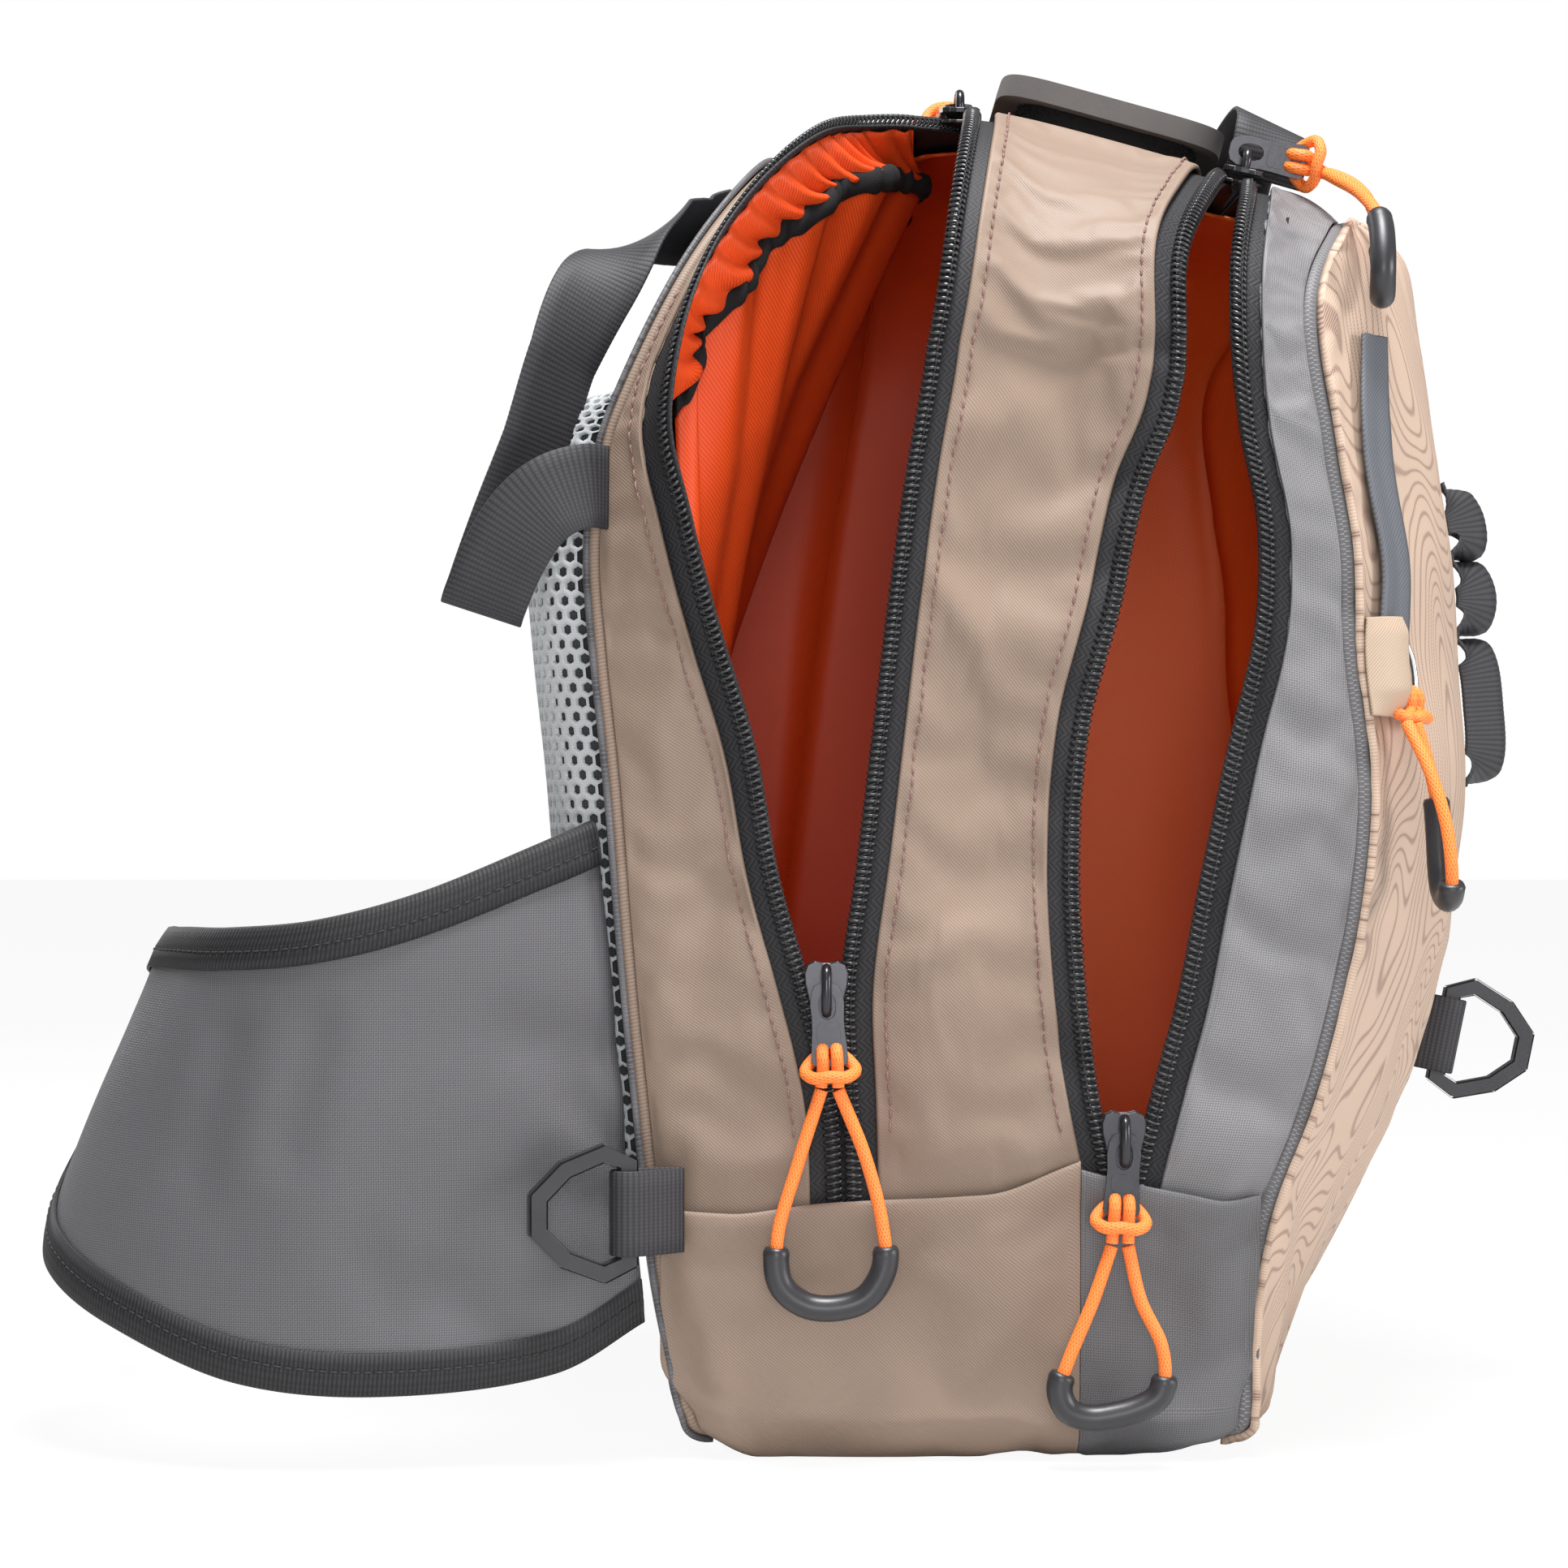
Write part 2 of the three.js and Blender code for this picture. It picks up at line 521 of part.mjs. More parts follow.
// Pulls: the slider's spot on the loop and its x, which way is up its chain and out, where the tab points,
// and the route of the cord from the tab through the grip and back, in the pack's frame. An upright tab
// hangs sideways from the bridge. The pocket's slider sits on the front panel, at a height and a share of
// its width.
const sliderLift = coilProud + 0.6
const bridgeMiddle = 7.1
const tabHoleMiddle = -3
const tabMiddle = 3.1
const cordSteps = 16
const gripSpan = [5 / cordSteps, 11 / cordSteps]
const gripSteps = 6
const gripBore = cordDiameter + 1.7
const pocketAt = 1.8
const pocketShare = 0.055
const nearOut = [0, -1, 0]
const frontSlope = [0.77, -0.64, 0]
const pulls = [
  { name: 'main_low', turn: 1.405, x: -46.5, up: [0, 0, 1], out: nearOut, tab: [0.05, 0, -1],
    route: [[-48, -141, 112], [-55, -141.5, 90], [-61, -142, 68], [-60, -142, 55], [-53, -142, 49],
      [-44, -142, 48], [-35, -142, 51], [-29.5, -142, 60], [-30, -142, 72], [-35, -141.5, 92],
      [-43, -141, 112]] },
  { name: 'second_low', turn: 1.262, x: 41.5, up: [0, 0, 1], out: nearOut, tab: [-0.05, 0, -1],
    route: [[37.5, -140, 66], [32, -140.5, 50], [24, -141, 30], [20, -141, 20], [27, -141, 15.5],
      [37, -141, 17], [46, -141, 21], [52.5, -141, 28], [52, -141, 37], [46, -140.5, 50],
      [42.3, -140, 66]] },
  { name: 'second_top', turn: 2.88, x: 86, up: [0, -0.98, -0.18], out: [0.2, -0.18, 0.96],
    tab: [0.98, 0, -0.2], upright: true,
    route: [[110, -57, 397.5], [117, -61, 395], [122.5, -68, 390], [125, -77, 382.5], [125.5, -86, 373],
      [125.5, -93.5, 363], [124.5, -99.5, 354], [123, -106, 349.5], [122, -112, 353], [122.3, -112.5, 362],
      [122.3, -105, 373.5], [119.5, -90, 384], [114.5, -73, 392], [110, -61.8, 397.5]] },
  { name: 'main_top', turn: 3.12, x: -2, up: [0, -1, 0], out: [0, 0, 1], tab: [-0.1, 0.99, 0],
    route: [[-9, -5, 423], [-20, 6, 423], [-31, 14, 420.5], [-37, 25, 419.5], [-33, 35, 419.5],
      [-23, 38, 420.5], [-14, 35, 421.5], [-8, 25, 423], [-4, 12, 424], [-4.2, -5, 423]] },
  { name: 'pocket', out: frontSlope, up: [0, 0, 1], tab: [0, 0, -1], grip: [3 / cordSteps, 9 / cordSteps],
    route: [[130.2, -123.8, 220], [133.2, -125.6, 209], [135.2, -127.6, 199], [136, -128.4, 189],
      [136.6, -128.8, 179], [137.2, -130.4, 171.5], [137.6, -135.6, 166.8], [137.4, -141, 172],
      [136.8, -143, 181], [135, -141.3, 194], [131, -135, 208], [126.7, -127.8, 220]] }
]
const slider = sliderGeometry()
const tab = tabGeometry()
function sliderPoint(pull, out) {
  if (pull.turn === undefined) {
    return frontPoint(pocketAt, pocketShare).addScaledVector(out, sliderLift + 1.6)
  }
  const spot = spotAt(pull.turn)
  return skin(spot, pull.x, outAt(spot, pull.x)).addScaledVector(out, sliderLift)
}
for (const pull of pulls) {
  const out = vec(...pull.out).normalize()
  const up = vec(...pull.up).normalize()
  const seat = sliderPoint(pull, out)
  const turned = new THREE.Matrix4().makeBasis(up.clone().cross(out), up, out).setPosition(seat)
  place(`${pull.name}_slider`, slider.clone().applyMatrix4(turned), gunmetal)
  const down = vec(...pull.tab).normalize().negate()
  const face = pull.upright ? up.clone() : out.clone().addScaledVector(down, -out.dot(down)).normalize()
  const hung = new THREE.Matrix4().makeBasis(down.clone().cross(face), down, face)
  const hook = seat.clone()
  if (pull.upright) {
    hook.addScaledVector(out, bridgeMiddle).addScaledVector(down, -tabHoleMiddle)
    hook.addScaledVector(face, -tabMiddle)
  }
  place(`${pull.name}_tab`, tab.clone().applyMatrix4(hung.setPosition(hook)), gunmetal)
  const route = new THREE.CatmullRomCurve3(pull.route.map((point) => vec(...point)), false, 'centripetal')
  place(`${pull.name}_cord`, tubeGeometry(route, cordDiameter, cordSteps), cordOrange)
  const gripRoute = new THREE.CatmullRomCurve3(span(...(pull.grip ?? gripSpan), gripSteps).map((t) => route.getPointAt(t)))
  place(`${pull.name}_grip`, tubeGeometry(gripRoute, gripDiameter, gripSteps, gripBore), blackPlastic)
}

// Zip of the front panel's pocket, and the tab that covers its lower end
const pocketLine = [
  { at: 1.64, share: 0.045 }, { at: 1.78, share: 0.05 }, { at: 1.86, share: 0.059 },
  { at: 1.94, share: 0.055 }, { at: 2.05, share: 0.063 }, { at: 2.2, share: 0.082 }, { at: 2.28, share: 0.09 }
]
const patchLift = 0.5
function patchGeometry(rows, halfShare, depth) {
  const grid = rows.map((at) => {
    const middle = smooth(pocketLine, 'at', 'share', at)
    return [-halfShare, 0, halfShare].map((reach) => frontPoint(at, middle + reach))
  })
  return wallGeometry(grid, depth, -depth - patchLift)
}
place('pocket_zip', patchGeometry(span(1.76, 2.26, 10), 0.019, 1.2), zipGrey)
place('pocket_garage', patchGeometry(span(1.64, 1.745, 3), 0.026, 1.4), print)

// Hip-belt wing: u runs from the back seam to the tip; x and y are its middle line, top and bottom its edges,
// lean how much further forward the top edge lies than the bottom edge
const wingRows = [
  { u: 0, x: -109, y: -123, top: 190, bottom: 42, lean: -15 },
  { u: 0.15, x: -130, y: -132, top: 183, bottom: 28, lean: -4 },
  { u: 0.38, x: -172, y: -141, top: 169, bottom: 23, lean: 12 },
  { u: 0.57, x: -208, y: -141, top: 161, bottom: 27, lean: 24 },
  { u: 0.73, x: -240, y: -127, top: 158, bottom: 40, lean: 33 },
  { u: 0.85, x: -261, y: -103, top: 157, bottom: 51, lean: 38 },
  { u: 0.93, x: -268, y: -80, top: 155, bottom: 62, lean: 38 },
  { u: 0.98, x: -265, y: -62, top: 146, bottom: 80, lean: 32 },
  { u: 1, x: -262, y: -55, top: 131, bottom: 96, lean: 18 }
]
const wingThick = 5.6
const wingEdge = 3.4
const bindingReach = 12
const bindingCloth = 1
const bindingGap = 1.1
const wingU = [0, 0.12, 0.28, 0.45, 0.6, 0.71, 0.8, 0.87, 0.93, 0.97, 1]
const wingV = [0, 0.1, 0.3, 0.5, 0.7, 0.9, 1]
const wingValue = (name, u) => smooth(wingRows, 'u', name, u)
function wingMiddle(u, v) {
  const z = lerp(wingValue('bottom', u), wingValue('top', u), v)
  const x = wingValue('x', u) + wingValue('lean', u) * (v - 0.5)
  return vec(x, wingValue('y', u), z)
}
const wingStep = 0.02
function wingOut(u, v) {
  const along = wingMiddle(Math.min(u + wingStep, 1), v).sub(wingMiddle(Math.max(u - wingStep, 0), v))
  const up = wingMiddle(u, 1).sub(wingMiddle(u, 0))
  return up.cross(along).normalize()
}
const wingPoint = (u, v, out) => wingMiddle(u, v).addScaledVector(wingOut(u, v), out)

// The wing thickens from its bound edge to its full padding
const wingRamp = 14
const tipScale = 367
function wingHalf(u, v) {
  const height = wingValue('top', u) - wingValue('bottom', u)
  const edge = Math.min(Math.min(v, 1 - v) * height, (1 - u) * tipScale)
  return lerp(wingEdge, wingThick, Math.min(edge / wingRamp, 1)) / 2
}
const wingGrid = (side) => wingU.map((u) => wingV.map((v) => wingPoint(u, v, side * wingHalf(u, v))))

// Binding folded over the wing's edge: top edge to the tip, round it, and back along the bottom edge
const bindingPath = [
  ...wingU.map((u) => ({ u, v: 1 })), { u: 1, v: 0.5 }, ...reversed(wingU).map((u) => ({ u, v: 0 }))
]
const tipReach = bindingReach / tipScale
const tipStart = 0.95
function bindingInner(spot) {
  const reach = Math.min(bindingReach / (wingValue('top', spot.u) - wingValue('bottom', spot.u)), 0.38)
  const u = spot.u - tipReach * Math.max((spot.u - tipStart) / (1 - tipStart), 0)
  return { u, v: lerp(reach, 1 - reach, spot.v) }
}
const bindingGrid = bindingPath.map((spot, k) => {
  const here = wingMiddle(spot.u, spot.v)
  const before = bindingPath[Math.max(k - 1, 0)]
  const after = bindingPath[Math.min(k + 1, bindingPath.length - 1)]
  const along = wingMiddle(after.u, after.v).sub(wingMiddle(before.u, before.v)).normalize()
  const out = wingOut(spot.u, spot.v)
  const edge = here.addScaledVector(out.clone().cross(along).normalize(), -bindingGap)
  const half = wingEdge / 2 + bindingGap
  const fold = wingThick / 2 + bindingGap
  const inner = bindingInner(spot)
  return [
    wingPoint(inner.u, inner.v, fold), edge.clone().addScaledVector(out, half),
    edge.clone().addScaledVector(out, -half), wingPoint(inner.u, inner.v, -fold)
  ]
})
const mirrored = (geometry) => {
  const copy = geometry.clone().applyMatrix4(new THREE.Matrix4().makeScale(1, -1, 1))
  const index = Array.from(copy.getIndex().array)
  for (let k = 0; k < index.length; k += 3) [index[k], index[k + 1]] = [index[k + 1], index[k]]
  return copy.setIndex(index)
}
const wing = loftGeometry(wingGrid(1), wingGrid(-1))
const binding = wallGeometry(bindingGrid, bindingCloth, -bindingCloth)

// The far wing sags a little on its seam. Belt webbing runs from each wing's tip to the buckle.
const farSag = 0.085
const sagX = -109
const sagged = new THREE.Matrix4().set(1, 0, 0, 0, 0, 1, 0, 0, farSag, 0, 1, -farSag * sagX, 0, 0, 0, 1)
const farTurn = (geometry) => mirrored(geometry).applyMatrix4(sagged)
const beltX = -259
const beltHeight = 105
const beltEnd = 21
const beltStrap = (side, tipHeight) => ribbonGeometry([
  { at: [beltX - 2, side * 51.5, tipHeight], across: [0.1, 0, 1] },
  { at: [beltX - 0.5, side * 42, lerp(tipHeight, beltHeight, 0.3)], across: [0, 0, 1] },
  { at: [beltX, side * 32, lerp(tipHeight, beltHeight, 0.7)], across: [0, 0, 1] },
  { at: [beltX, side * beltEnd, beltHeight], across: [0, 0, 1] }
], 6)
place('wing_near', wing, wingGrey)
place('binding_near', binding, blackWeb)
place('belt_strap_near', beltStrap(-1, 112), blackWeb)
place('wing_far', farTurn(wing), wingGrey)
place('binding_far', farTurn(binding), blackWeb)
place('belt_strap_far', beltStrap(1, 99), blackWeb)
const buckleTall = 34
const buckleThick = 8
const buckleHalf = beltEnd - 0.5
const buckleCut = 5
const buckleOutline = [
  [-buckleHalf, -buckleTall / 2 + buckleCut], [-buckleHalf + buckleCut, -buckleTall / 2],
  [buckleHalf - buckleCut, -buckleTall / 2], [buckleHalf, -buckleTall / 2 + buckleCut],
  [buckleHalf, buckleTall / 2 - buckleCut], [buckleHalf - buckleCut, buckleTall / 2],
  [-buckleHalf + buckleCut, buckleTall / 2], [-buckleHalf, buckleTall / 2 - buckleCut]
]
const buckle = plateGeometry(buckleOutline, [], buckleThick).translate(0, 0, -buckleThick / 2)
buckle.applyMatrix4(new THREE.Matrix4().makeBasis(vec(0, 1, 0), vec(0, 0, 1), vec(1, 0, 0)))
place('belt_buckle', buckle.translate(beltX, 0, beltHeight), blackPlastic)

// D-rings turn on a straight bar in a folded webbing tab. Local X points away from the bar, Y runs along it.
const ringOuter = [[-2.3, -15.5], [7, -20], [20, -15], [29, -6], [29, 6], [20, 15], [7, 20], [-2.3, 15.5]]
const ringInner = [
  [2.3, -13.4], [2.3, 13.4], [7.4, 15.4], [17.6, 11.3], [24.6, 4.2], [24.6, -4.2], [17.6, -11.3], [7.4, -15.4]
]
const ringThick = 4.2
const loopReach = 4.6
const loopCorner = 3.3
const legGap = 1.1
const fittings = [
  { name: 'belt_ring', at: [-105, -141, 76], away: [-0.97, -0.24, 0], bar: [0, 0, 1], leg: -17, shift: 3 },
  { name: 'front_ring', at: [162.5, 0, 118], away: [0.98, 0, -0.2], bar: [0.2, 0, 0.98], leg: -12.5,
    shift: 0 }
]
for (const fitting of fittings) {
  const away = vec(...fitting.away).normalize()
  const bar = vec(...fitting.bar).normalize()
  const frame = new THREE.Matrix4().makeBasis(away, bar, away.clone().cross(bar))
  frame.setPosition(vec(...fitting.at))
  const ring = plateGeometry(ringOuter, [ringInner], ringThick).translate(0, 0, -ringThick / 2)
  place(fitting.name, ring.applyMatrix4(frame), blackPlastic)
  const middle = fitting.leg / 2
  const legs = [
    [fitting.leg, fitting.shift - legGap], [middle, fitting.shift * 0.4 - loopCorner], [0, -loopReach],
    [loopCorner, -loopCorner], [loopReach, 0], [loopCorner, loopCorner], [0, loopReach],
    [middle, fitting.shift * 0.4 + loopCorner], [fitting.leg, fitting.shift + legGap]
  ]
  const tabRows = legs.map(([x, z]) => ({ at: [x, 0, z], across: [0, 1, 0] }))
  place(`${fitting.name}_tab`, ribbonGeometry(tabRows, 12).applyMatrix4(frame), blackWeb)
}

// Haul strap: from the side seam it hangs in a slack fold and climbs behind to the top of the back panel
place('haul_strap', ribbonGeometry([
  { at: [-110, -138.5, 290], across: [0, 0, 1] },
  { at: [-118, -140.5, 290], across: [-0.12, 0, 0.99] },
  { at: [-126, -142, 287], across: [-0.42, 0, 0.9] },
  { at: [-134, -142, 280.5], across: [-0.7, 0, 0.7] },
  { at: [-141.5, -140.5, 269], across: [-0.86, 0, 0.5] },
  { at: [-147.5, -136, 256], across: [-0.93, -0.05, 0.36] },
  { at: [-149, -130, 253], across: [-0.95, -0.1, 0.3] },
  { at: [-148, -125, 258], across: [-0.95, -0.15, 0.3] },
  { at: [-141, -123, 280], across: [-0.88, -0.4, 0.2] },
  { at: [-133, -122, 304], across: [-0.75, -0.6, 0.1] },
  { at: [-125.5, -119, 330], across: [-0.72, -0.6, 0] },
  { at: [-117.5, -112, 350], across: [-0.88, -0.35, 0] },
  { at: [-109, -101, 364], across: [-0.95, 0, -0.15] },
  { at: [-101, -87, 371], across: [-0.82, 0.1, -0.5] },
  { at: [-95, -70, 376], across: [-0.62, 0, -0.78] },
  { at: [-91, -52, 379], across: [-0.57, 0, -0.82] },
  { at: [-91, -40, 379.5], across: [-0.57, 0, -0.82] }
], 26), blackWeb)

// Daisy chain down the front: sewn to the panel between loops. Column out is its distance from the panel.
const daisyRows = [
  { at: 1.985, out: 2.2 }, { at: 1.965, out: 8 }, { at: 1.945, out: 10 }, { at: 1.92, out: 9 },
  { at: 1.905, out: 2.2 },
  { at: 1.885, out: 9 }, { at: 1.86, out: 11 }, { at: 1.835, out: 9 }, { at: 1.815, out: 2.2 },
  { at: 1.795, out: 9 }, { at: 1.735, out: 11 }, { at: 1.67, out: 9.5 }, { at: 1.645, out: 2.2 }
]
const daisyTwist = [-0.78, -0.63, 0]
const daisyPath = daisyRows.map((row) => {
  const point = frontPoint(row.at, 0.5)
  const across = row.out > 5 ? daisyTwist : [0, -1, 0]
  return { at: [point.x + row.out, point.y, point.z], across }
})
place('daisy_chain', ribbonGeometry(daisyPath, 30, 20), blackWeb)

// Top handle: a webbing loop across the crown, leaning forward
const handleLean = [0.9, 0, -0.43]
place('top_handle', ribbonGeometry([
  { at: [95, -46, 396.5], across: handleLean },
  { at: [97, -49, 404], across: handleLean },
  { at: [98.5, -46, 412], across: handleLean },
  { at: [99, -36, 416.5], across: handleLean },
  { at: [99, 0, 418.5], across: handleLean },
  { at: [99, 36, 416.5], across: handleLean },
  { at: [98.5, 46, 412], across: handleLean },
  { at: [97, 49, 404], across: handleLean },
  { at: [95, 46, 396.5], across: handleLean }
], 18), blackWeb)

// Foam fly patch on its hook-and-loop base, tilted with the crown
const patchTilt = 0.27
const patchMiddle = [45, -4, 408.9]
const roundedPlate = (long, wide, corner, thick) => {
  const x = long / 2
  const y = wide / 2
  return plateGeometry([
    [-x + corner, -y], [x - corner, -y], [x, -y + corner], [x, y - corner],
    [x - corner, y], [-x + corner, y], [-x, y - corner], [-x, -y + corner]
  ], [], thick)
}
const patchBaseThick = 7.4
const patchThick = 7.2
const seated = (geometry) => geometry.rotateY(patchTilt).translate(...patchMiddle)
place('fly_patch_base', seated(roundedPlate(60, 66, 3, patchBaseThick)), blackWeb)
const patchSlab = roundedPlate(76, 76, 6, patchThick).translate(0, 0, patchBaseThick + 0.4)
place('fly_patch', seated(patchSlab), foamGrey)

export default pack
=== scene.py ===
import json
import math
import bpy
import bmesh
import numpy as np
from mathutils import Matrix, Vector, noise
from mathutils.geometry import tessellate_polygon

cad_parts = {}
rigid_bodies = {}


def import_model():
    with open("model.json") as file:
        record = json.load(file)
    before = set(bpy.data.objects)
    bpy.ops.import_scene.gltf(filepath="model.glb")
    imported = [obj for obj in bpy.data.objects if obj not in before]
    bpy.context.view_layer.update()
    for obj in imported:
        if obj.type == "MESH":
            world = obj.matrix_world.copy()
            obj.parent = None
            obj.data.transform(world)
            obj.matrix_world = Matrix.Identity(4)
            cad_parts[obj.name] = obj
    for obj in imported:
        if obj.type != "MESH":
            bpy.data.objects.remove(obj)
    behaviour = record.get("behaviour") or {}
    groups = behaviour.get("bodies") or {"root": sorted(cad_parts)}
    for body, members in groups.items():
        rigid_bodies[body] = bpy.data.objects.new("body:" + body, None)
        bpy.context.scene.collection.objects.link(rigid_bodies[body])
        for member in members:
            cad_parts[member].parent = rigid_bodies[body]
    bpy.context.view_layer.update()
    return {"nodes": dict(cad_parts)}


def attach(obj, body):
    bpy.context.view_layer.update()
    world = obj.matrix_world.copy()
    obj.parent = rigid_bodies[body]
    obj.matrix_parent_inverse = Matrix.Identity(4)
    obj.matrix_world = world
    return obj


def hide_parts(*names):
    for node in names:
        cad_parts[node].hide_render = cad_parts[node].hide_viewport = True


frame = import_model()
scene = bpy.context.scene
mm = 0.001
print("frame loaded:", len(frame["nodes"]), "nodes")


# camera, floor and light
cameraView = {"place": (-59, -1135, 202), "lens": 77.6, "sensor": 36}
studio = {
    "floor": (0.68, 0.68, 0.68),
    "floorGlow": 0.93,
    "world": (1.0, 1.0, 1.0),
    "worldPower": 0.26,
    "seenPower": 1.0,
    "look": "Standard",
    "lamps": [
        {"name": "key", "place": (60, -430, 1700), "aim": (0, -60, 220), "size": 520, "power": 48},
        {"name": "fill", "place": (0, -1450, 1150), "aim": (20, 0, 220), "size": 600, "power": 3},
        {"name": "front", "place": (0, -1750, 330), "aim": (20, 0, 220), "size": 500, "power": 9.5},
        {"name": "rear", "place": (-950, 900, 900), "aim": (-60, 0, 200), "size": 800, "power": 11},
        {"name": "right", "place": (1500, -600, 420), "aim": (60, -60, 200), "size": 500, "power": 13},
    ],
}
scene.view_settings.view_transform = studio["look"]
camera = bpy.data.cameras.new("photoCamera")
camera.lens = cameraView["lens"]
camera.sensor_width = cameraView["sensor"]
cameraObject = bpy.data.objects.new("photoCamera", camera)
cameraObject.location = Vector(cameraView["place"]) * mm
cameraObject.rotation_euler = (math.pi / 2, 0, 0)
scene.collection.objects.link(cameraObject)
scene.camera = cameraObject


# one shader lights the pack and another is what the camera sees
def mixForCamera(tree, share, plain, seen, output):
    chooser = tree.nodes.new("ShaderNodeMixShader")
    for source, socket in zip((share, plain, seen), chooser.inputs):
        tree.links.new(source, socket)
    tree.links.new(chooser.outputs[0], output)


world = bpy.data.worlds.new("studio")
world.use_nodes = True
worldTree = world.node_tree
backdrop = worldTree.nodes["Background"]
surround = worldTree.nodes.new("ShaderNodeBackground")
for node, power in ((backdrop, studio["worldPower"]), (surround, studio["seenPower"])):
    node.inputs["Color"].default_value = (*studio["world"], 1)
    node.inputs["Strength"].default_value = power
rays = worldTree.nodes.new("ShaderNodeLightPath")
mixForCamera(worldTree, rays.outputs["Is Camera Ray"], backdrop.outputs[0], surround.outputs[0],
             worldTree.nodes["World Output"].inputs["Surface"])
scene.world = world
for lamp in studio["lamps"]:
    light = bpy.data.lights.new(lamp["name"], "AREA")
    light.size = lamp["size"] * mm
    light.energy = lamp["power"]
    lightObject = bpy.data.objects.new(lamp["name"], light)
    lightObject.location = Vector(lamp["place"]) * mm
    aim = Vector(lamp["aim"]) * mm - lightObject.location
    lightObject.rotation_euler = aim.to_track_quat("-Z", "Y").to_euler()
    scene.collection.objects.link(lightObject)


# node helpers
def linear(red, green, blue):
    parts = [value / 255 for value in (red, green, blue)]
    return tuple(p / 12.92 if p <= 0.04045 else ((p + 0.055) / 1.055) ** 2.4 for p in parts) + (1.0,)


def socketKind(isColour):
    return "NodeSocketColor" if isColour else "NodeSocketFloat"


def newGroup(name, inputs, outputs):
    group = bpy.data.node_groups.new(name, "ShaderNodeTree")
    for label, value in inputs.items():
        kind = socketKind(isinstance(value, tuple))
        socket = group.interface.new_socket(label, in_out="INPUT", socket_type=kind)
        socket.default_value = value
    for label in outputs:
        kind = socketKind(label == "Colour")
        group.interface.new_socket(label, in_out="OUTPUT", socket_type=kind)
    return group, group.nodes.new("NodeGroupInput").outputs, group.nodes.new("NodeGroupOutput")


def closeGroup(group, end, **results):
    for label, value in results.items():
        feed(group, end.inputs[label], value)
    return group


def feed(tree, socket, value):
    if isinstance(value, bpy.types.NodeSocket):
        tree.links.new(value, socket)
    else:
        socket.default_value = value


def calc(tree, kind, first, second=None, third=None):
    node = tree.nodes.new("ShaderNodeMath")
    node.operation = kind
    for socket, value in zip(node.inputs, (first, second, third)):
        if value is not None:
            feed(tree, socket, value)
    return node.outputs[0]


def sineOf(tree, value, turn):
    return calc(tree, "SINE", calc(tree, "MULTIPLY", value, turn))


def between(tree, share, first, second):
    rest = calc(tree, "SUBTRACT", 1.0, share)
    return calc(tree, "ADD", calc(tree, "MULTIPLY", first, share), calc(tree, "MULTIPLY", second, rest))


def mixColour(tree, share, first, second):
    node = tree.nodes.new("ShaderNodeMix")
    node.data_type = "RGBA"
    for number, value in ((0, share), (6, first), (7, second)):
        feed(tree, node.inputs[number], value)
    return node.outputs[2]


def clothPlace(tree):
    attribute = tree.nodes.new("ShaderNodeAttribute")
    attribute.attribute_name = "cloth"
    split = tree.nodes.new("ShaderNodeSeparateXYZ")
    tree.links.new(attribute.outputs["Vector"], split.inputs[0])
    return attribute.outputs["Vector"], split.outputs[0], split.outputs[1]


def cloud(tree, vector, scale, detail=2.0):
    node = tree.nodes.new("ShaderNodeTexNoise")
    for label, value in (("Scale", scale), ("Detail", detail), ("Vector", vector)):
        feed(tree, node.inputs[label], value)
    return node.outputs["Fac"]


# plain weave or twill, threads counted along the cloth attribute in mm
def makeWeave():
    group, given, end = newGroup("clothWeave", {
        "Colour": (0.5, 0.5, 0.5, 1), "Gap": (0.2, 0.2, 0.2, 1), "Pitch": 0.6, "Twill": 0.0,
        "Chevron": 1000.0, "Mottle": 0.1}, ("Colour", "Height"))
    place, across, along = clothPlace(group)
    turn = calc(group, "DIVIDE", math.pi, given["Pitch"])
    sineA, sineB = sineOf(group, across, turn), sineOf(group, along, turn)
    over = calc(group, "GREATER_THAN", calc(group, "MULTIPLY", sineA, sineB), 0.0)
    squareA, squareB = (calc(group, "MULTIPLY", sine, sine) for sine in (sineA, sineB))
    basket = between(group, over, squareA, squareB)
    slant = calc(group, "ADD", across, calc(group, "PINGPONG", along, given["Chevron"]))
    diagonal = calc(group, "MULTIPLY_ADD", sineOf(group, slant, turn), 0.5, 0.5)
    height = between(group, given["Twill"], diagonal, basket)
    woven = mixColour(group, height, given["Gap"], given["Colour"])
    patches = calc(group, "MULTIPLY", cloud(group, place, 0.06, 3.0), given["Mottle"])
    return closeGroup(group, end, Colour=mixColour(group, patches, woven, given["Gap"]), Height=height)


# grosgrain ribs across a strap
def makeRibs():
    group, given, end = newGroup("strapRibs", {
        "Colour": (0.03, 0.03, 0.03, 1), "Gap": (0.01, 0.01, 0.01, 1), "Pitch": 1.5, "Wales": 1.1},
        ("Colour", "Height"))
    place, along, across = clothPlace(group)
    rib, wale = (calc(group, "ABSOLUTE", sineOf(group, way, calc(group, "DIVIDE", math.pi, given[label])))
                 for way, label in ((along, "Pitch"), (across, "Wales")))
    height = calc(group, "MULTIPLY", rib, calc(group, "MULTIPLY_ADD", wale, 0.45, 0.55))
    dust = calc(group, "MULTIPLY", cloud(group, place, 1.8), 0.35)
    woven = mixColour(group, calc(group, "SUBTRACT", height, dust), given["Gap"], given["Colour"])
    return closeGroup(group, end, Colour=woven, Height=height)


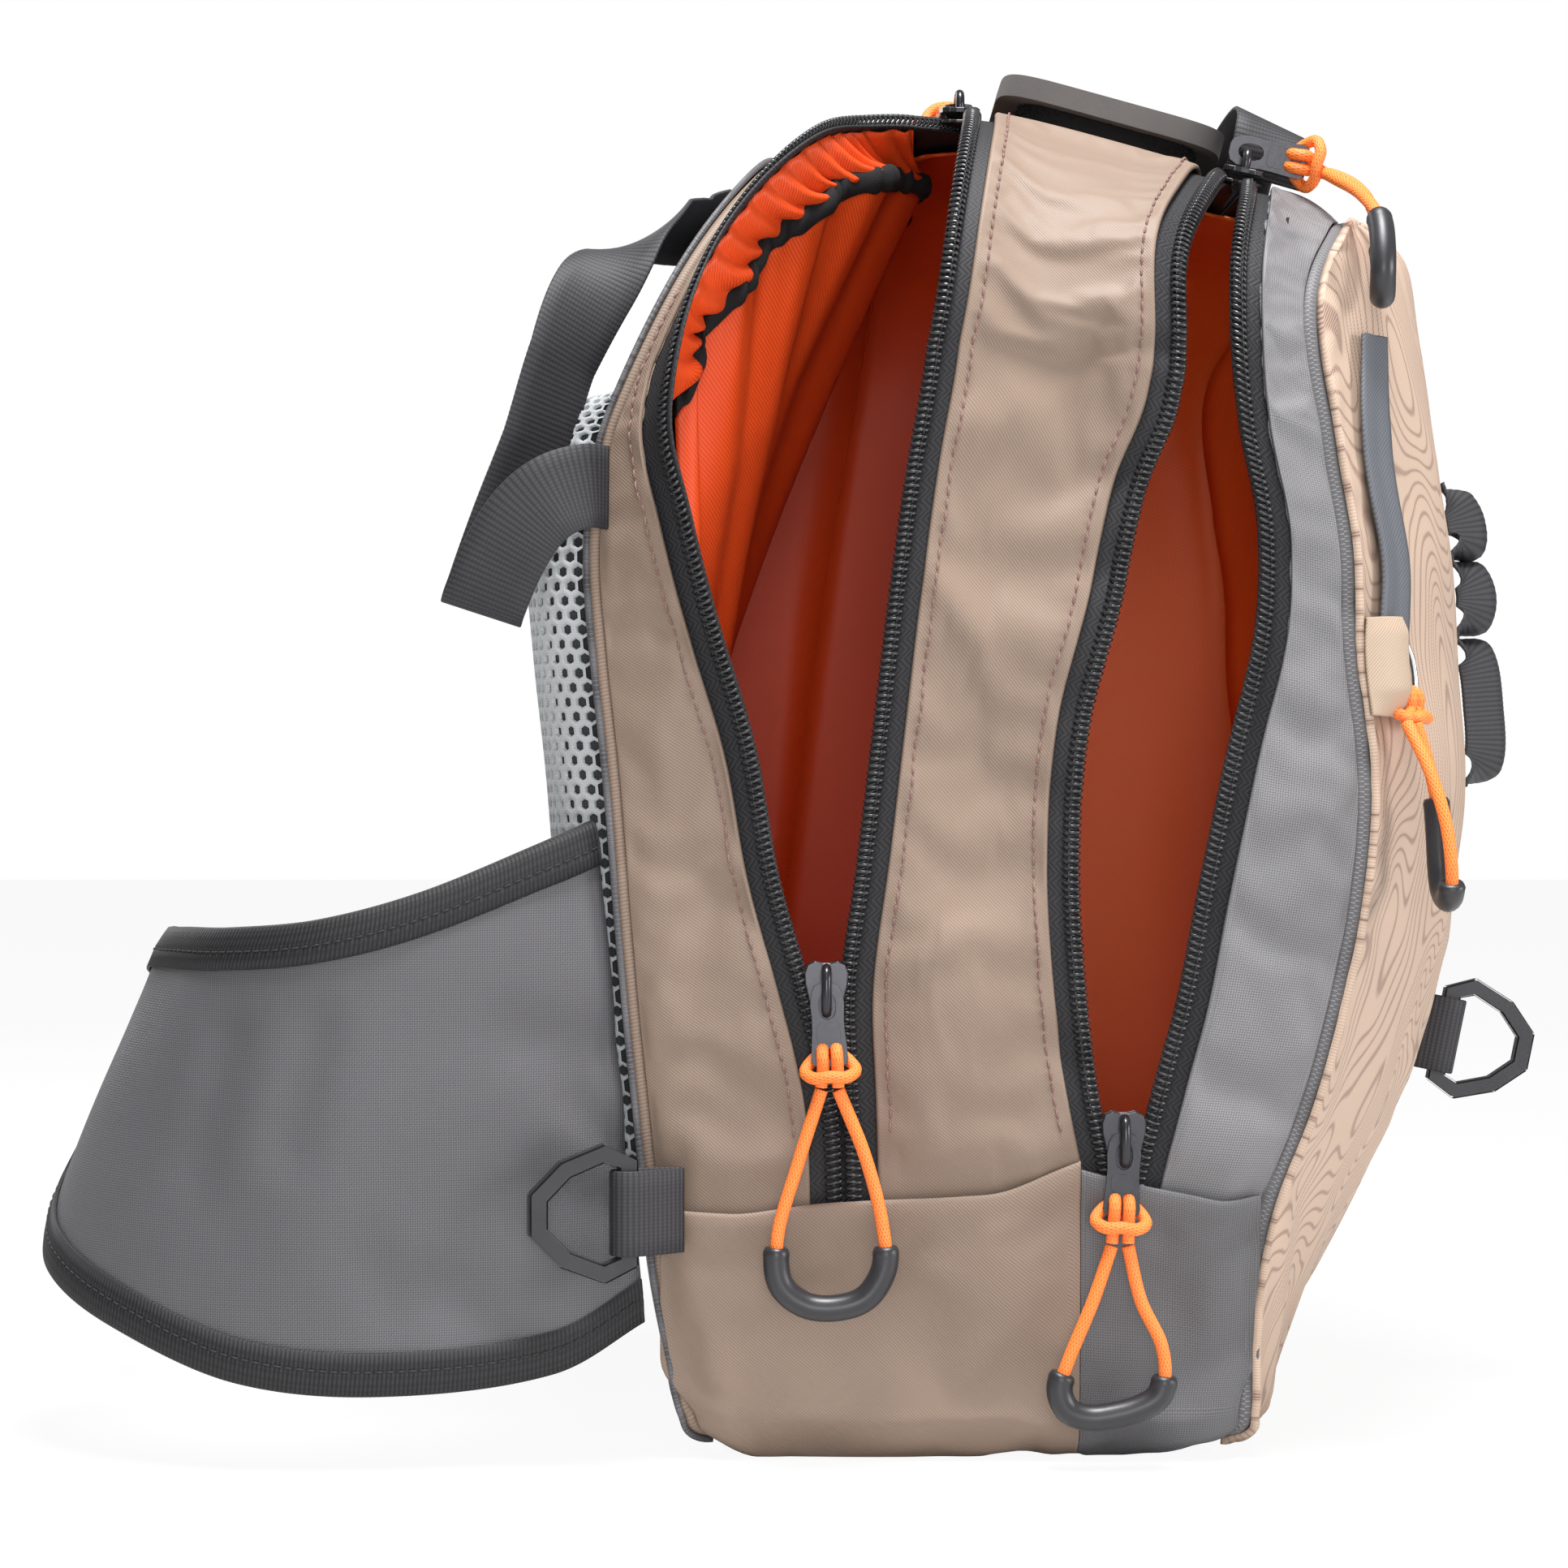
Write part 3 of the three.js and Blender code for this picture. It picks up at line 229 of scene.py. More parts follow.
# round braid: strands crossing round the cord, angle in turns
def makeBraid():
    group, given, end = newGroup("cordBraid", {
        "Colour": (0.9, 0.4, 0.1, 1), "Gap": (0.5, 0.15, 0.02, 1), "Pitch": 2.2, "Strands": 6.0},
        ("Colour", "Height"))
    _, along, turns = clothPlace(group)
    lay = calc(group, "DIVIDE", along, given["Pitch"])
    wind = calc(group, "MULTIPLY", turns, given["Strands"])
    left, right = (sineOf(group, calc(group, kind, lay, wind), 2 * math.pi) for kind in ("ADD", "SUBTRACT"))
    height = calc(group, "MULTIPLY_ADD", calc(group, "MAXIMUM", left, right), 0.5, 0.5)
    plaited = mixColour(group, height, given["Gap"], given["Colour"])
    return closeGroup(group, end, Colour=plaited, Height=height)


# moulded or plated surface: fine grain with dull and polished patches
def makeMould():
    group, given, end = newGroup("mouldGrain", {
        "Colour": (0.02, 0.02, 0.02, 1), "Worn": (0.05, 0.05, 0.05, 1), "Grain": 900.0, "Roughness": 0.4},
        ("Colour", "Roughness", "Height"))
    place = group.nodes.new("ShaderNodeTexCoord").outputs["Object"]
    fine = cloud(group, place, given["Grain"], 3.0)
    broad = cloud(group, place, 70.0, 3.0)
    dull = calc(group, "MULTIPLY_ADD", broad, 0.2, calc(group, "SUBTRACT", given["Roughness"], 0.1))
    worn = mixColour(group, broad, given["Colour"], given["Worn"])
    return closeGroup(group, end, Colour=worn, Roughness=dull, Height=fine)


# height lines of a made-up landscape
def makeContours():
    group, given, end = newGroup("contourLines", {
        "Ground": (0.5, 0.4, 0.3, 1), "Line": (0.25, 0.17, 0.15, 1), "Levels": 50.0, "Weight": 0.17},
        ("Colour",))
    drawn = group.nodes.new("ShaderNodeVectorMath")
    drawn.operation = "MULTIPLY"
    drawn.inputs[1].default_value = (1.0, 0.42, 1.0)
    group.links.new(clothPlace(group)[0], drawn.inputs[0])
    land = cloud(group, drawn.outputs[0], 0.016, 1.4)
    step = calc(group, "FRACT", calc(group, "MULTIPLY", land, given["Levels"]))
    edge = calc(group, "MINIMUM", step, calc(group, "SUBTRACT", 1.0, step))
    near = calc(group, "SMOOTH_MIN", calc(group, "DIVIDE", edge, given["Weight"]), 1.0, 0.3)
    line = calc(group, "MULTIPLY", calc(group, "SUBTRACT", 1.0, near), 1.4)
    inked = calc(group, "MINIMUM", calc(group, "MAXIMUM", line, 0.0), 1.0)
    return closeGroup(group, end, Colour=mixColour(group, inked, given["Ground"], given["Line"]))


weaveGroup, ribGroup, braidGroup = makeWeave(), makeRibs(), makeBraid()
mouldGroup, contourGroup = makeMould(), makeContours()


def newMaterial(name, roughness, **fixed):
    material = bpy.data.materials.new(name)
    material.use_nodes = True
    shader = material.node_tree.nodes["Principled BSDF"]
    shader.inputs["Roughness"].default_value = roughness
    for label, value in fixed.items():
        shader.inputs[label].default_value = value
    return material, material.node_tree, shader


def placeGroup(tree, group, values):
    node = tree.nodes.new("ShaderNodeGroup")
    node.node_tree = group
    for label, value in values.items():
        feed(tree, node.inputs[label], linear(*value) if isinstance(value, tuple) else value)
    return node


# what a group puts out goes to the shader: colour, roughness, and height as a bump
def plugIn(tree, shader, node, strength, distance):
    tree.links.new(node.outputs["Colour"], shader.inputs["Base Color"])
    if "Roughness" in node.outputs:
        tree.links.new(node.outputs["Roughness"], shader.inputs["Roughness"])
    bump = tree.nodes.new("ShaderNodeBump")
    bump.inputs["Strength"].default_value = strength
    bump.inputs["Distance"].default_value = distance * mm
    tree.links.new(node.outputs["Height"], bump.inputs["Height"])
    tree.links.new(bump.outputs["Normal"], shader.inputs["Normal"])


def groupMaterial(name, roughness, group, values, bump, relief, **fixed):
    material, tree, shader = newMaterial(name, roughness, **fixed)
    plugIn(tree, shader, placeGroup(tree, group, values), bump, relief)
    return material


def clothMaterial(name, colour, gap, pitch, roughness, twill=0.0, chevron=1000.0, mottle=0.12, bump=0.35):
    values = {"Colour": colour, "Gap": gap, "Pitch": pitch, "Twill": twill, "Chevron": chevron,
              "Mottle": mottle}
    return groupMaterial(name, roughness, weaveGroup, values, bump, 0.12, **{"Specular IOR Level": 0.35})


def ribMaterial(name, colour, gap, pitch, roughness=0.62):
    values = {"Colour": colour, "Gap": gap, "Pitch": pitch}
    return groupMaterial(name, roughness, ribGroup, values, 0.5, 0.2, **{"Specular IOR Level": 0.35})


def mouldMaterial(name, colour, worn, roughness, grain, metallic=0.0, bump=0.15):
    values = {"Colour": colour, "Worn": worn, "Grain": grain, "Roughness": roughness}
    return groupMaterial(name, roughness, mouldGroup, values, bump, 0.1, Metallic=metallic)


def braidMaterial(name, colour, gap):
    values = {"Colour": colour, "Gap": gap}
    return groupMaterial(name, 0.55, braidGroup, values, 0.6, 0.25, **{"Specular IOR Level": 0.4})


def printMaterial(name, ground, line, gap):
    material, tree, shader = newMaterial(name, 0.68, **{"Specular IOR Level": 0.3})
    contours = placeGroup(tree, contourGroup, {"Ground": ground, "Line": line})
    weave = placeGroup(tree, weaveGroup, {
        "Colour": contours.outputs["Colour"], "Gap": gap, "Pitch": 0.5, "Twill": 1.0, "Mottle": 0.12})
    plugIn(tree, shader, weave, 0.25, 0.1)
    return material


finishes = {
    "taupe": clothMaterial("taupeSatin", (140, 121, 107), (119, 101, 88), 0.55, 0.56, twill=1.0,
                           mottle=0.2),
    "grey": clothMaterial("greyOxford", (134, 133, 135), (86, 85, 87), 0.75, 0.55, mottle=0.15, bump=0.5),
    "bootGrey": clothMaterial("bootOxford", (106, 105, 107), (68, 67, 69), 0.75, 0.55, mottle=0.15,
                              bump=0.5),
    "wing": clothMaterial("wingOxford", (104, 103, 106), (64, 63, 66), 0.7, 0.5, mottle=0.2, bump=0.5),
    "print": printMaterial("contourPrint", (190, 167, 149), (112, 84, 79), (168, 146, 129)),
    "garage": clothMaterial("garageCloth", (178, 158, 138), (150, 130, 112), 0.55, 0.5, twill=1.0),
    "lining": clothMaterial("orangeSatin", (228, 84, 34), (200, 60, 16), 0.6, 0.46, twill=1.0, mottle=0.25),
    # a lighter copy of the orange satin for the second compartment's linings: painted light that brightens
    # cloth lying deep in shade
    "paintedLitLining": clothMaterial("paintedLitSatin", (255, 132, 60), (246, 100, 36), 0.6, 0.46, twill=1.0,
                                mottle=0.25),
    "elastic": clothMaterial("gatheredElastic", (24, 22, 24), (10, 9, 10), 0.9, 0.9),
    "tape": clothMaterial("zipTape", (46, 45, 48), (22, 21, 24), 0.9, 0.66, twill=1.0, chevron=3.0,
                          bump=0.5),
    "pocketTape": clothMaterial("pocketTape", (98, 101, 107), (75, 78, 83), 0.8, 0.55, twill=1.0),
    "meshFace": clothMaterial("meshFace", (194, 197, 198), (156, 159, 161), 0.5, 0.5, bump=0.4),
    "meshBed": clothMaterial("meshBed", (64, 66, 68), (40, 41, 43), 0.8, 0.85),
    "webbing": ribMaterial("blackWebbing", (60, 59, 62), (34, 33, 36), 1.6),
    "bindingTape": ribMaterial("bindingTape", (48, 47, 50), (14, 14, 16), 1.3),
    "hookPile": ribMaterial("hookPile", (36, 35, 37), (12, 12, 13), 0.9, 0.95),
    "coil": mouldMaterial("nylonCoil", (36, 36, 38), (58, 58, 60), 0.22, 1200.0),
    "pocketCoil": mouldMaterial("pocketCoil", (112, 115, 120), (136, 138, 142), 0.42, 1200.0),
    "plastic": mouldMaterial("satinPlastic", (30, 30, 33), (44, 44, 48), 0.4, 1500.0, bump=0.25),
    "metal": mouldMaterial("blackPlate", (38, 38, 41), (70, 70, 74), 0.28, 600.0, metallic=0.7),
    "wire": mouldMaterial("silverWire", (190, 190, 192), (210, 210, 212), 0.25, 600.0, metallic=1.0),
    "cord": braidMaterial("orangeCord", (255, 138, 62), (232, 92, 30)),
    "foam": mouldMaterial("fineFoam", (74, 71, 70), (92, 88, 87), 0.9, 2600.0, bump=0.8),
    "thread": mouldMaterial("mauveThread", (112, 82, 76), (132, 102, 94), 0.7, 2000.0),
    "darkThread": mouldMaterial("darkThread", (26, 25, 27), (42, 41, 44), 0.7, 2000.0),
}
floorMaterial, floorTree, floorShader = newMaterial("paleFloor", 0.9)
floorShader.inputs["Base Color"].default_value = (*studio["floor"], 1)
glow = floorTree.nodes.new("ShaderNodeEmission")
floorRays = floorTree.nodes.new("ShaderNodeLightPath")
seen = calc(floorTree, "MULTIPLY", floorRays.outputs["Is Camera Ray"], studio["floorGlow"])
mixForCamera(floorTree, seen, floorShader.outputs[0], glow.outputs[0],
             floorTree.nodes["Material Output"].inputs["Surface"])
floorMesh = bpy.data.meshes.new("floor")
floorMesh.from_pydata([(-6, -6, 0), (6, -6, 0), (6, 6, 0), (-6, 6, 0)], [], [(0, 1, 2, 3)])
floorMesh.materials.append(floorMaterial)
floorPlane = bpy.data.objects.new("floor", floorMesh)
scene.collection.objects.link(floorPlane)
print("camera, light and finishes ready")


# mesh helpers, all in millimetres until the mesh is made
def addPiece(name, points, faces, finish, replaces=(), cloth=None, smooth=True):
    mesh = bpy.data.meshes.new(name)
    mesh.from_pydata((np.asarray(points, float) * mm).tolist(), [], [tuple(face) for face in faces])
    mesh.materials.append(finishes[finish])
    if cloth is not None:
        attribute = mesh.attributes.new("cloth", "FLOAT_VECTOR", "POINT")
        attribute.data.foreach_set("vector", np.asarray(cloth, np.float32).ravel())
    if smooth:
        mesh.polygons.foreach_set("use_smooth", [True] * len(mesh.polygons))
    mesh.update()
    piece = bpy.data.objects.new(name, mesh)
    scene.collection.objects.link(piece)
    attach(piece, "pack")
    if replaces:
        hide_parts(*replaces)
    return piece


def shapePiece(name, shape, finish, replaces=()):
    points, faces, cloth = shape
    return addPiece(name, points, faces, finish, replaces, cloth)


def gridFaces(rows, columns, offset=0):
    i, j = np.meshgrid(np.arange(rows - 1), np.arange(columns - 1), indexing="ij")
    first = (i * columns + j).ravel() + offset
    return np.stack([first, first + 1, first + columns + 1, first + columns], axis=1).tolist()


def clothCoords(grid):
    across = np.zeros(grid.shape[:2])
    across[:, 1:] = np.cumsum(np.linalg.norm(np.diff(grid, axis=1), axis=2), axis=1)
    across -= across[:, grid.shape[1] // 2][:, None]
    along = np.zeros(grid.shape[0])
    along[1:] = np.cumsum(np.linalg.norm(np.diff(grid, axis=0), axis=2).mean(axis=1))
    return np.stack([across, np.broadcast_to(along[:, None], across.shape), np.zeros_like(across)], axis=2)


def unit(vector):
    return np.array(vector, float) / np.linalg.norm(vector)


def unitRows(vectors):
    return vectors / np.maximum(np.linalg.norm(vectors, axis=-1, keepdims=True), 1e-9)


def gridNormals(grid):
    return unitRows(np.cross(np.gradient(grid, axis=1), np.gradient(grid, axis=0)))


def softNoise(points, scale, seed):
    shift = Vector((seed * 7.3, seed * 3.1, seed * 5.7))
    flat = np.asarray(points).reshape(-1, 3)
    values = [noise.noise(Vector(point) / scale + shift) for point in flat]
    return np.array(values).reshape(np.asarray(points).shape[:-1])


def wallPiece(name, grid, finish, thick, replaces=(), subdivide=1):
    points, cloth = grid.reshape(-1, 3), clothCoords(grid).reshape(-1, 3)
    piece = addPiece(name, points, gridFaces(*grid.shape[:2]), finish, replaces, cloth)
    if subdivide:
        smoother = piece.modifiers.new("smoother", "SUBSURF")
        smoother.levels = smoother.render_levels = subdivide
        smoother.boundary_smooth = "PRESERVE_CORNERS"
    shell = piece.modifiers.new("thickness", "SOLIDIFY")
    shell.thickness = thick * mm
    shell.offset = -1
    return piece


# slack cloth held at its seams, settled by the cloth solver and kept near its pattern
solver = {"quality": 4, "mass": 0.15, "tension_stiffness": 14, "compression_stiffness": 14,
          "shear_stiffness": 4, "bending_stiffness": 0.35}


def slacken(piece, grid, slack, cap, frames=14, gravity=0.4, held=1, firm=()):
    rows, columns = grid.shape[:2]
    index = np.arange(rows * columns).reshape(rows, columns)
    inside = index[held:-held, held:-held]
    pinned = np.union1d(np.setdiff1d(index.ravel(), inside.ravel()), index[list(firm)].ravel())
    seams = piece.vertex_groups.new(name="seams")
    seams.add([int(k) for k in pinned], 1.0, "REPLACE")
    hidden = [(m, m.show_viewport) for m in piece.modifiers]
    for modifier, _ in hidden:
        modifier.show_viewport = False
    cloth = piece.modifiers.new("slack", "CLOTH")
    piece.modifiers.move(len(piece.modifiers) - 1, 0)
    for label, value in solver.items():
        setattr(cloth.settings, label, value)
    cloth.settings.shrink_min = -slack
    cloth.settings.vertex_group_mass = "seams"
    cloth.settings.effector_weights.gravity = gravity
    cloth.point_cache.frame_start = 1
    cloth.point_cache.frame_end = frames
    for step in range(1, frames + 1):
        scene.frame_set(step)
    settled = piece.evaluated_get(bpy.context.evaluated_depsgraph_get()).data
    after = np.empty(rows * columns * 3)
    settled.vertices.foreach_get("co", after)
    piece.modifiers.remove(cloth)
    scene.frame_set(1)
    for modifier, shown in hidden:
        modifier.show_viewport = shown
    before = grid.reshape(-1, 3) * mm
    move = after.reshape(-1, 3) - before
    far = np.linalg.norm(move, axis=1, keepdims=True)
    limit = cap * mm
    move *= limit * np.tanh(far / limit) / np.maximum(far, 1e-9)
    piece.data.vertices.foreach_set("co", (before + move).ravel())
    piece.data.update()
    print("settled", piece.name)


def blended(first, second, start, stop, t):
    return (stop - t) / (stop - start) * first + (t - start) / (stop - start) * second


# smooth curve through the points, in even steps
def spline(points, count):
    points = [np.array(point, float) for point in points]
    ends = [2 * points[0] - points[1]] + points + [2 * points[-1] - points[-2]]
    fine = []
    for k in range(1, len(ends) - 2):
        p0, p1, p2, p3 = ends[k - 1:k + 3]
        t1 = max(np.linalg.norm(p1 - p0), 1e-6) ** 0.5
        t2 = t1 + max(np.linalg.norm(p2 - p1), 1e-6) ** 0.5
        t3 = t2 + max(np.linalg.norm(p3 - p2), 1e-6) ** 0.5
        for t in np.linspace(t1, t2, 24, endpoint=False):
            a1, a2, a3 = blended(p0, p1, 0, t1, t), blended(p1, p2, t1, t2, t), blended(p2, p3, t2, t3, t)
            b1, b2 = blended(a1, a2, 0, t2, t), blended(a2, a3, t1, t3, t)
            fine.append(blended(b1, b2, t1, t2, t))
    fine.append(points[-1])
    return evenly(np.array(fine), count)


# from place to place in even steps, with a count for each stretch
def inSteps(places, counts):
    stretches = [np.linspace(*ends)[:-1] for ends in zip(places, places[1:], counts)]
    return np.concatenate(stretches + [places[-1:]])


def lengthsAlong(path):
    return np.concatenate([[0], np.cumsum(np.linalg.norm(np.diff(path, axis=0), axis=1))])


def sampled(wanted, steps, data):
    return np.stack([np.interp(wanted, steps, data[:, k]) for k in range(3)], axis=-1)


def evenly(path, count):
    steps = lengthsAlong(path)
    return sampled(np.linspace(0, steps[-1], count), steps, path)


def pathLength(path):
    return float(np.linalg.norm(np.diff(path, axis=0), axis=1).sum())


def carriedFrames(path):
    along = unitRows(np.gradient(path, axis=0))
    side = np.cross(along[0], (0, 0, 1) if abs(along[0][2]) < 0.9 else (1, 0, 0))
    sides = []
    for step in along:
        side = side - step * np.dot(side, step)
        side = side / np.linalg.norm(side)
        sides.append(side)
    return np.array(sides), np.cross(along, sides)


# faces and cloth places of rings that follow one another
def ringFaces(count, sides, caps=True):
    faces = []
    for i in range(count - 1):
        for j in range(sides):
            k = (j + 1) % sides
            faces.append((i * sides + j, i * sides + k, (i + 1) * sides + k, (i + 1) * sides + j))
    if caps:
        faces.append(tuple(range(sides))[::-1])
        faces.append(tuple(range((count - 1) * sides, count * sides)))
    return faces


def ringCloth(steps, widths):
    count, sides = len(steps), len(widths)
    return np.stack([np.repeat(steps, sides), np.tile(widths, count), np.zeros(count * sides)], axis=1)


def tube(path, radius, sides=10, caps=True):
    path = np.asarray(path, float)
    first, second = carriedFrames(path)
    radius = np.broadcast_to(np.asarray(radius, float), (len(path),))
    angle = np.linspace(0, 2 * math.pi, sides, endpoint=False)
    ring = np.cos(angle)[None, :, None] * first[:, None] + np.sin(angle)[None, :, None] * second[:, None]
    points = (path[:, None] + ring * radius[:, None, None]).reshape(-1, 3)
    turns = np.abs(np.linspace(-1, 1, sides, endpoint=False))
    return points, ringFaces(len(path), sides, caps), ringCloth(lengthsAlong(path), turns)


def joined(parts):
    points, faces, cloth, offset = [], [], [], 0
    for partPoints, partFaces, partCloth in parts:
        points.append(partPoints)
        cloth.append(partCloth)
        faces += [tuple(index + offset for index in face) for face in partFaces]
        offset += len(partPoints)
    return np.concatenate(points), faces, np.concatenate(cloth)


def capsule(start, end, normal, radius, sides=6):
    path = np.array([start + (end - start) * t for t in (0, 0.12, 0.5, 0.88, 1)])
    path += np.outer([-0.9 * radius, 0, 0.2 * radius, 0, -0.9 * radius], normal)
    return tube(path, radius * np.array([0.45, 0.9, 1, 0.9, 0.45]), sides)


def stitchRow(name, path, normals, finish, long=2.9, gap=1.0, radius=0.42):
    steps = lengthsAlong(path)
    starts = np.arange(gap, steps[-1] - long, long + gap)
    spots = [sampled(at, steps, data)
             for at, data in ((starts, path), (starts + long, path), (starts + long / 2, normals))]
    stitches = [capsule(a, b, n / np.linalg.norm(n), radius) for a, b, n in zip(*spots)]
    return shapePiece(name, joined(stitches), finish)


# webbing: a strip with real ribs across it, along a path with a direction across at each point
ribbon = {"thick": 1.5, "pitch": 1.6, "rib": 0.14, "edgeThin": 0.55, "fine": 400,
          "shares": (-1, -0.97, -0.6, -0.2, 0.2, 0.6, 0.97, 1)}


def webbing(name, rows, width, replaces):
    fine, rib = ribbon["fine"], ribbon["rib"]
    centre = spline([row[0] for row in rows], fine)
    sideRows = np.array([unit(row[1]) for row in rows])
    keys = [np.argmin(np.linalg.norm(centre - np.array(row[0]), axis=1)) for row in rows]
    side = sampled(np.arange(fine), keys, sideRows)
    length = pathLength(centre)
    count = max(int(length / ribbon["pitch"] * 2), 8)
    path = evenly(centre, count)
    side = sampled(np.linspace(0, fine - 1, count), np.arange(fine), side)
    along = unitRows(np.gradient(path, axis=0))
    side = unitRows(side - along * np.sum(side * along, axis=1, keepdims=True))
    out = np.cross(side, along)
    raised = np.where(np.arange(count) % 2 == 0, rib, 0.0)
    profile = [(s, 1) for s in ribbon["shares"]] + [(s, -1) for s in ribbon["shares"][::-1]]
    rings = []
    for share, face in profile:
        thin = ribbon["edgeThin"] if abs(share) == 1 else 1.0
        lift = (ribbon["thick"] / 2 * thin + raised - rib) * face
        rings.append(path + side * (share * width / 2) + out * lift[:, None])
    points = np.stack(rings, axis=1).reshape(-1, 3)
    cloth = ringCloth(np.linspace(0, length, count), [share * width / 2 for share, _ in profile])
    return addPiece(name, points, ringFaces(count, len(profile)), "webbing", replaces, cloth)


# plate cut from an outline with holes, bevelled
def plate(name, outline, holes, thick, matrix, finish, replaces=(), bevel=0.4):
    loops = [[Vector((x, y, 0)) for x, y in loop] for loop in [outline] + holes]
    flat = [point for loop in loops for point in loop]
    triangles = tessellate_polygon(loops)
    count = len(flat)
    points = [(p.x, p.y, thick) for p in flat] + [(p.x, p.y, 0) for p in flat]
    faces = []
    for a, b, c in triangles:
        turn = (flat[b] - flat[a]).cross(flat[c] - flat[a]).z
        front = (a, b, c) if turn > 0 else (a, c, b)
        faces.append(front)
        faces.append(tuple(index + count for index in front[::-1]))
    offset = 0
    for number, loop in enumerate(loops):
        area = sum(a.x * b.y - b.x * a.y for a, b in zip(loop, loop[1:] + loop[:1]))
        ring = list(range(offset, offset + len(loop)))
        if (area > 0) == (number > 0):
            ring.reverse()
        for a, b in zip(ring, ring[1:] + ring[:1]):
            faces.append((a, a + count, b + count, b))
        offset += len(loop)
    piece = addPiece(name, placed(matrix, points), faces, finish, replaces, smooth=False)
    addBevel(piece, bevel)
    return piece


def addBevel(piece, width, segments=2):
    bevel = piece.modifiers.new("softEdges", "BEVEL")
    bevel.width = width * mm
    bevel.segments = segments
    bevel.limit_method = "ANGLE"
    bevel.angle_limit = math.radians(35)
    bevel.harden_normals = True


def oval(width, height, middle=0.0, count=20, power=2.0):
    angle = np.linspace(0, 2 * math.pi, count, endpoint=False)
    x, y = (np.sign(v) * np.abs(v) ** (2 / power) for v in (np.cos(angle), np.sin(angle)))
    return list(zip(width / 2 * x, middle + height / 2 * y))


# shell of the pack: the same seams and outline as the solids
shell = {
    "halfWidth": 130, "sideBulge": 5, "crownHeight": 418, "crownX": -4, "crownFall": 0.3,
    "crownSoftness": 20, "cornerRadius": 85, "baseRadius": 16, "edgeRoll": 5, "rollReach": 14,
    "crowning": 2.4, "backBulge": -5, "zipEnd": 0.14, "bootTop": 1.2, "bootJointX": 29, "clothToLip": 10,
    "tapeReach": 16, "tapeInset": 3.2, "liningInset": 6.4, "frontOffset": 3.9, "backOffset": -3.2,
    "clothMost": 0.74, "tapeMost": 0.82, "liningMost": 0.85,
}
seamColumns = ["at", "back", "lipA", "lipB", "lipC", "lipD", "front", "flare", "dome"]
seamRows = [
    (0.0, -77, -41, -41, 41, 41, 69, 0, 12), (0.5, -84, -41, -41, 41, 41, 76, 0, 14),
    (1.0, -87, -41, -41, 41, 41, 77, 0, 19), (1.11, -93, -41, -41, 41, 41, 78, 0, 33),
    (1.2, -96, -41, -41, 41, 42, 83, 0, 41), (1.3, -99, -43, -42, 35, 49, 94, 0, 44),
    (1.4, -102, -50, -43, 31, 57, 102, 0, 46), (1.52, -105, -60, -38, 29, 64, 109, 2, 48),
    (1.65, -108, -67, -33, 32, 72, 112, 5, 50), (1.78, -112, -78, -28, 42, 81, 108, 10, 52),
    (1.89, -114, -86, -23, 49, 82, 107, 15, 51), (2.0, -110, -92, -17, 60, 76, 102, 20, 52),
    (2.33, -90, -80, -10, 63, 75, 98, 15, 50), (2.67, -68, -50, -4, 76, 82, 110, 9, 34),
    (2.88, -60, -33, -2, 83, 86, 117, 3, 20), (3.0, -58, -14, -1, 86, 88, 120, 0, 15),
]
dentRows = [  # place up the side, x, depth, reach up and across
    (1.95, 28, 7, 0.16, 20), (2.35, 44, -5, 0.2, 16), (1.62, 5, 5, 0.2, 15), (1.4, -8, -4, 0.14, 18),
    (1.5, -84, 5, 0.2, 12), (1.75, 92, 5, 0.16, 16), (1.45, 84, 4, 0.16, 17), (2.1, 90, 4, 0.2, 17),
    (1.1, -30, 4, 0.08, 26), (1.12, 56, 3, 0.08, 14),
]
foldRows = [  # near side: from x, z to x, z, then width and depth
    (58, 332, 20, 330, 7, 1.6), (52, 300, 24, 285, 8, 2.4), (40, 268, 6, 262, 10, 2.6),
    (31, 226, 4, 236, 8, 1.8), (27, 196, 6, 204, 7, 1.6), (24, 122, 8, 132, 9, 3.0),
    (-12, 262, 22, 214, 9, -1.8), (-20, 150, 14, 168, 10, -1.6), (4, 104, 26, 96, 8, 1.6),
    (-98, 250, -80, 236, 8, 1.6), (-100, 180, -72, 170, 9, 1.4), (-84, 120, -56, 108, 9, 1.5),
    (-104, 300, -92, 286, 6, 1.2), (-30, 92, -6, 86, 7, 1.4), (-80, 60, -50, 66, 8, 1.2),
    (96, 300, 84, 326, 6, 2.0), (104, 258, 86, 272, 7, 2.0), (108, 210, 84, 222, 8, 1.8),
    (100, 150, 72, 160, 8, 2.2), (88, 106, 60, 116, 8, 2.4), (74, 66, 52, 40, 9, 2.4),
    (70, 30, 44, 16, 8, 2.0),
]


def columnAt(rows, column, value):
    table = np.array(rows, float)
    key, data = table[:, 0], table[:, column]
    value = np.asarray(value, float)
    i = np.clip(np.searchsorted(key, value, side="left") - 1, 0, len(key) - 2)
    before = np.maximum(np.arange(len(key)) - 1, 0)
    after = np.minimum(np.arange(len(key)) + 1, len(key) - 1)
    slope = (data[after] - data[before]) / (key[after] - key[before])
    step = key[i + 1] - key[i]
    t = np.clip((value - key[i]) / step, 0, 1)
    ease = t * t * (3 - 2 * t)
    lead = t * (1 - t) ** 2 * step * slope[i]
    trail = t * t * (t - 1) * step * slope[i + 1]
    return data[i] + (data[i + 1] - data[i]) * ease + lead + trail


def section(name, at):
    return columnAt(seamRows, seamColumns.index(name), at)


def crownAt(share):
    return 1 - np.abs(2 * np.asarray(share) - 1) ** shell["crowning"]


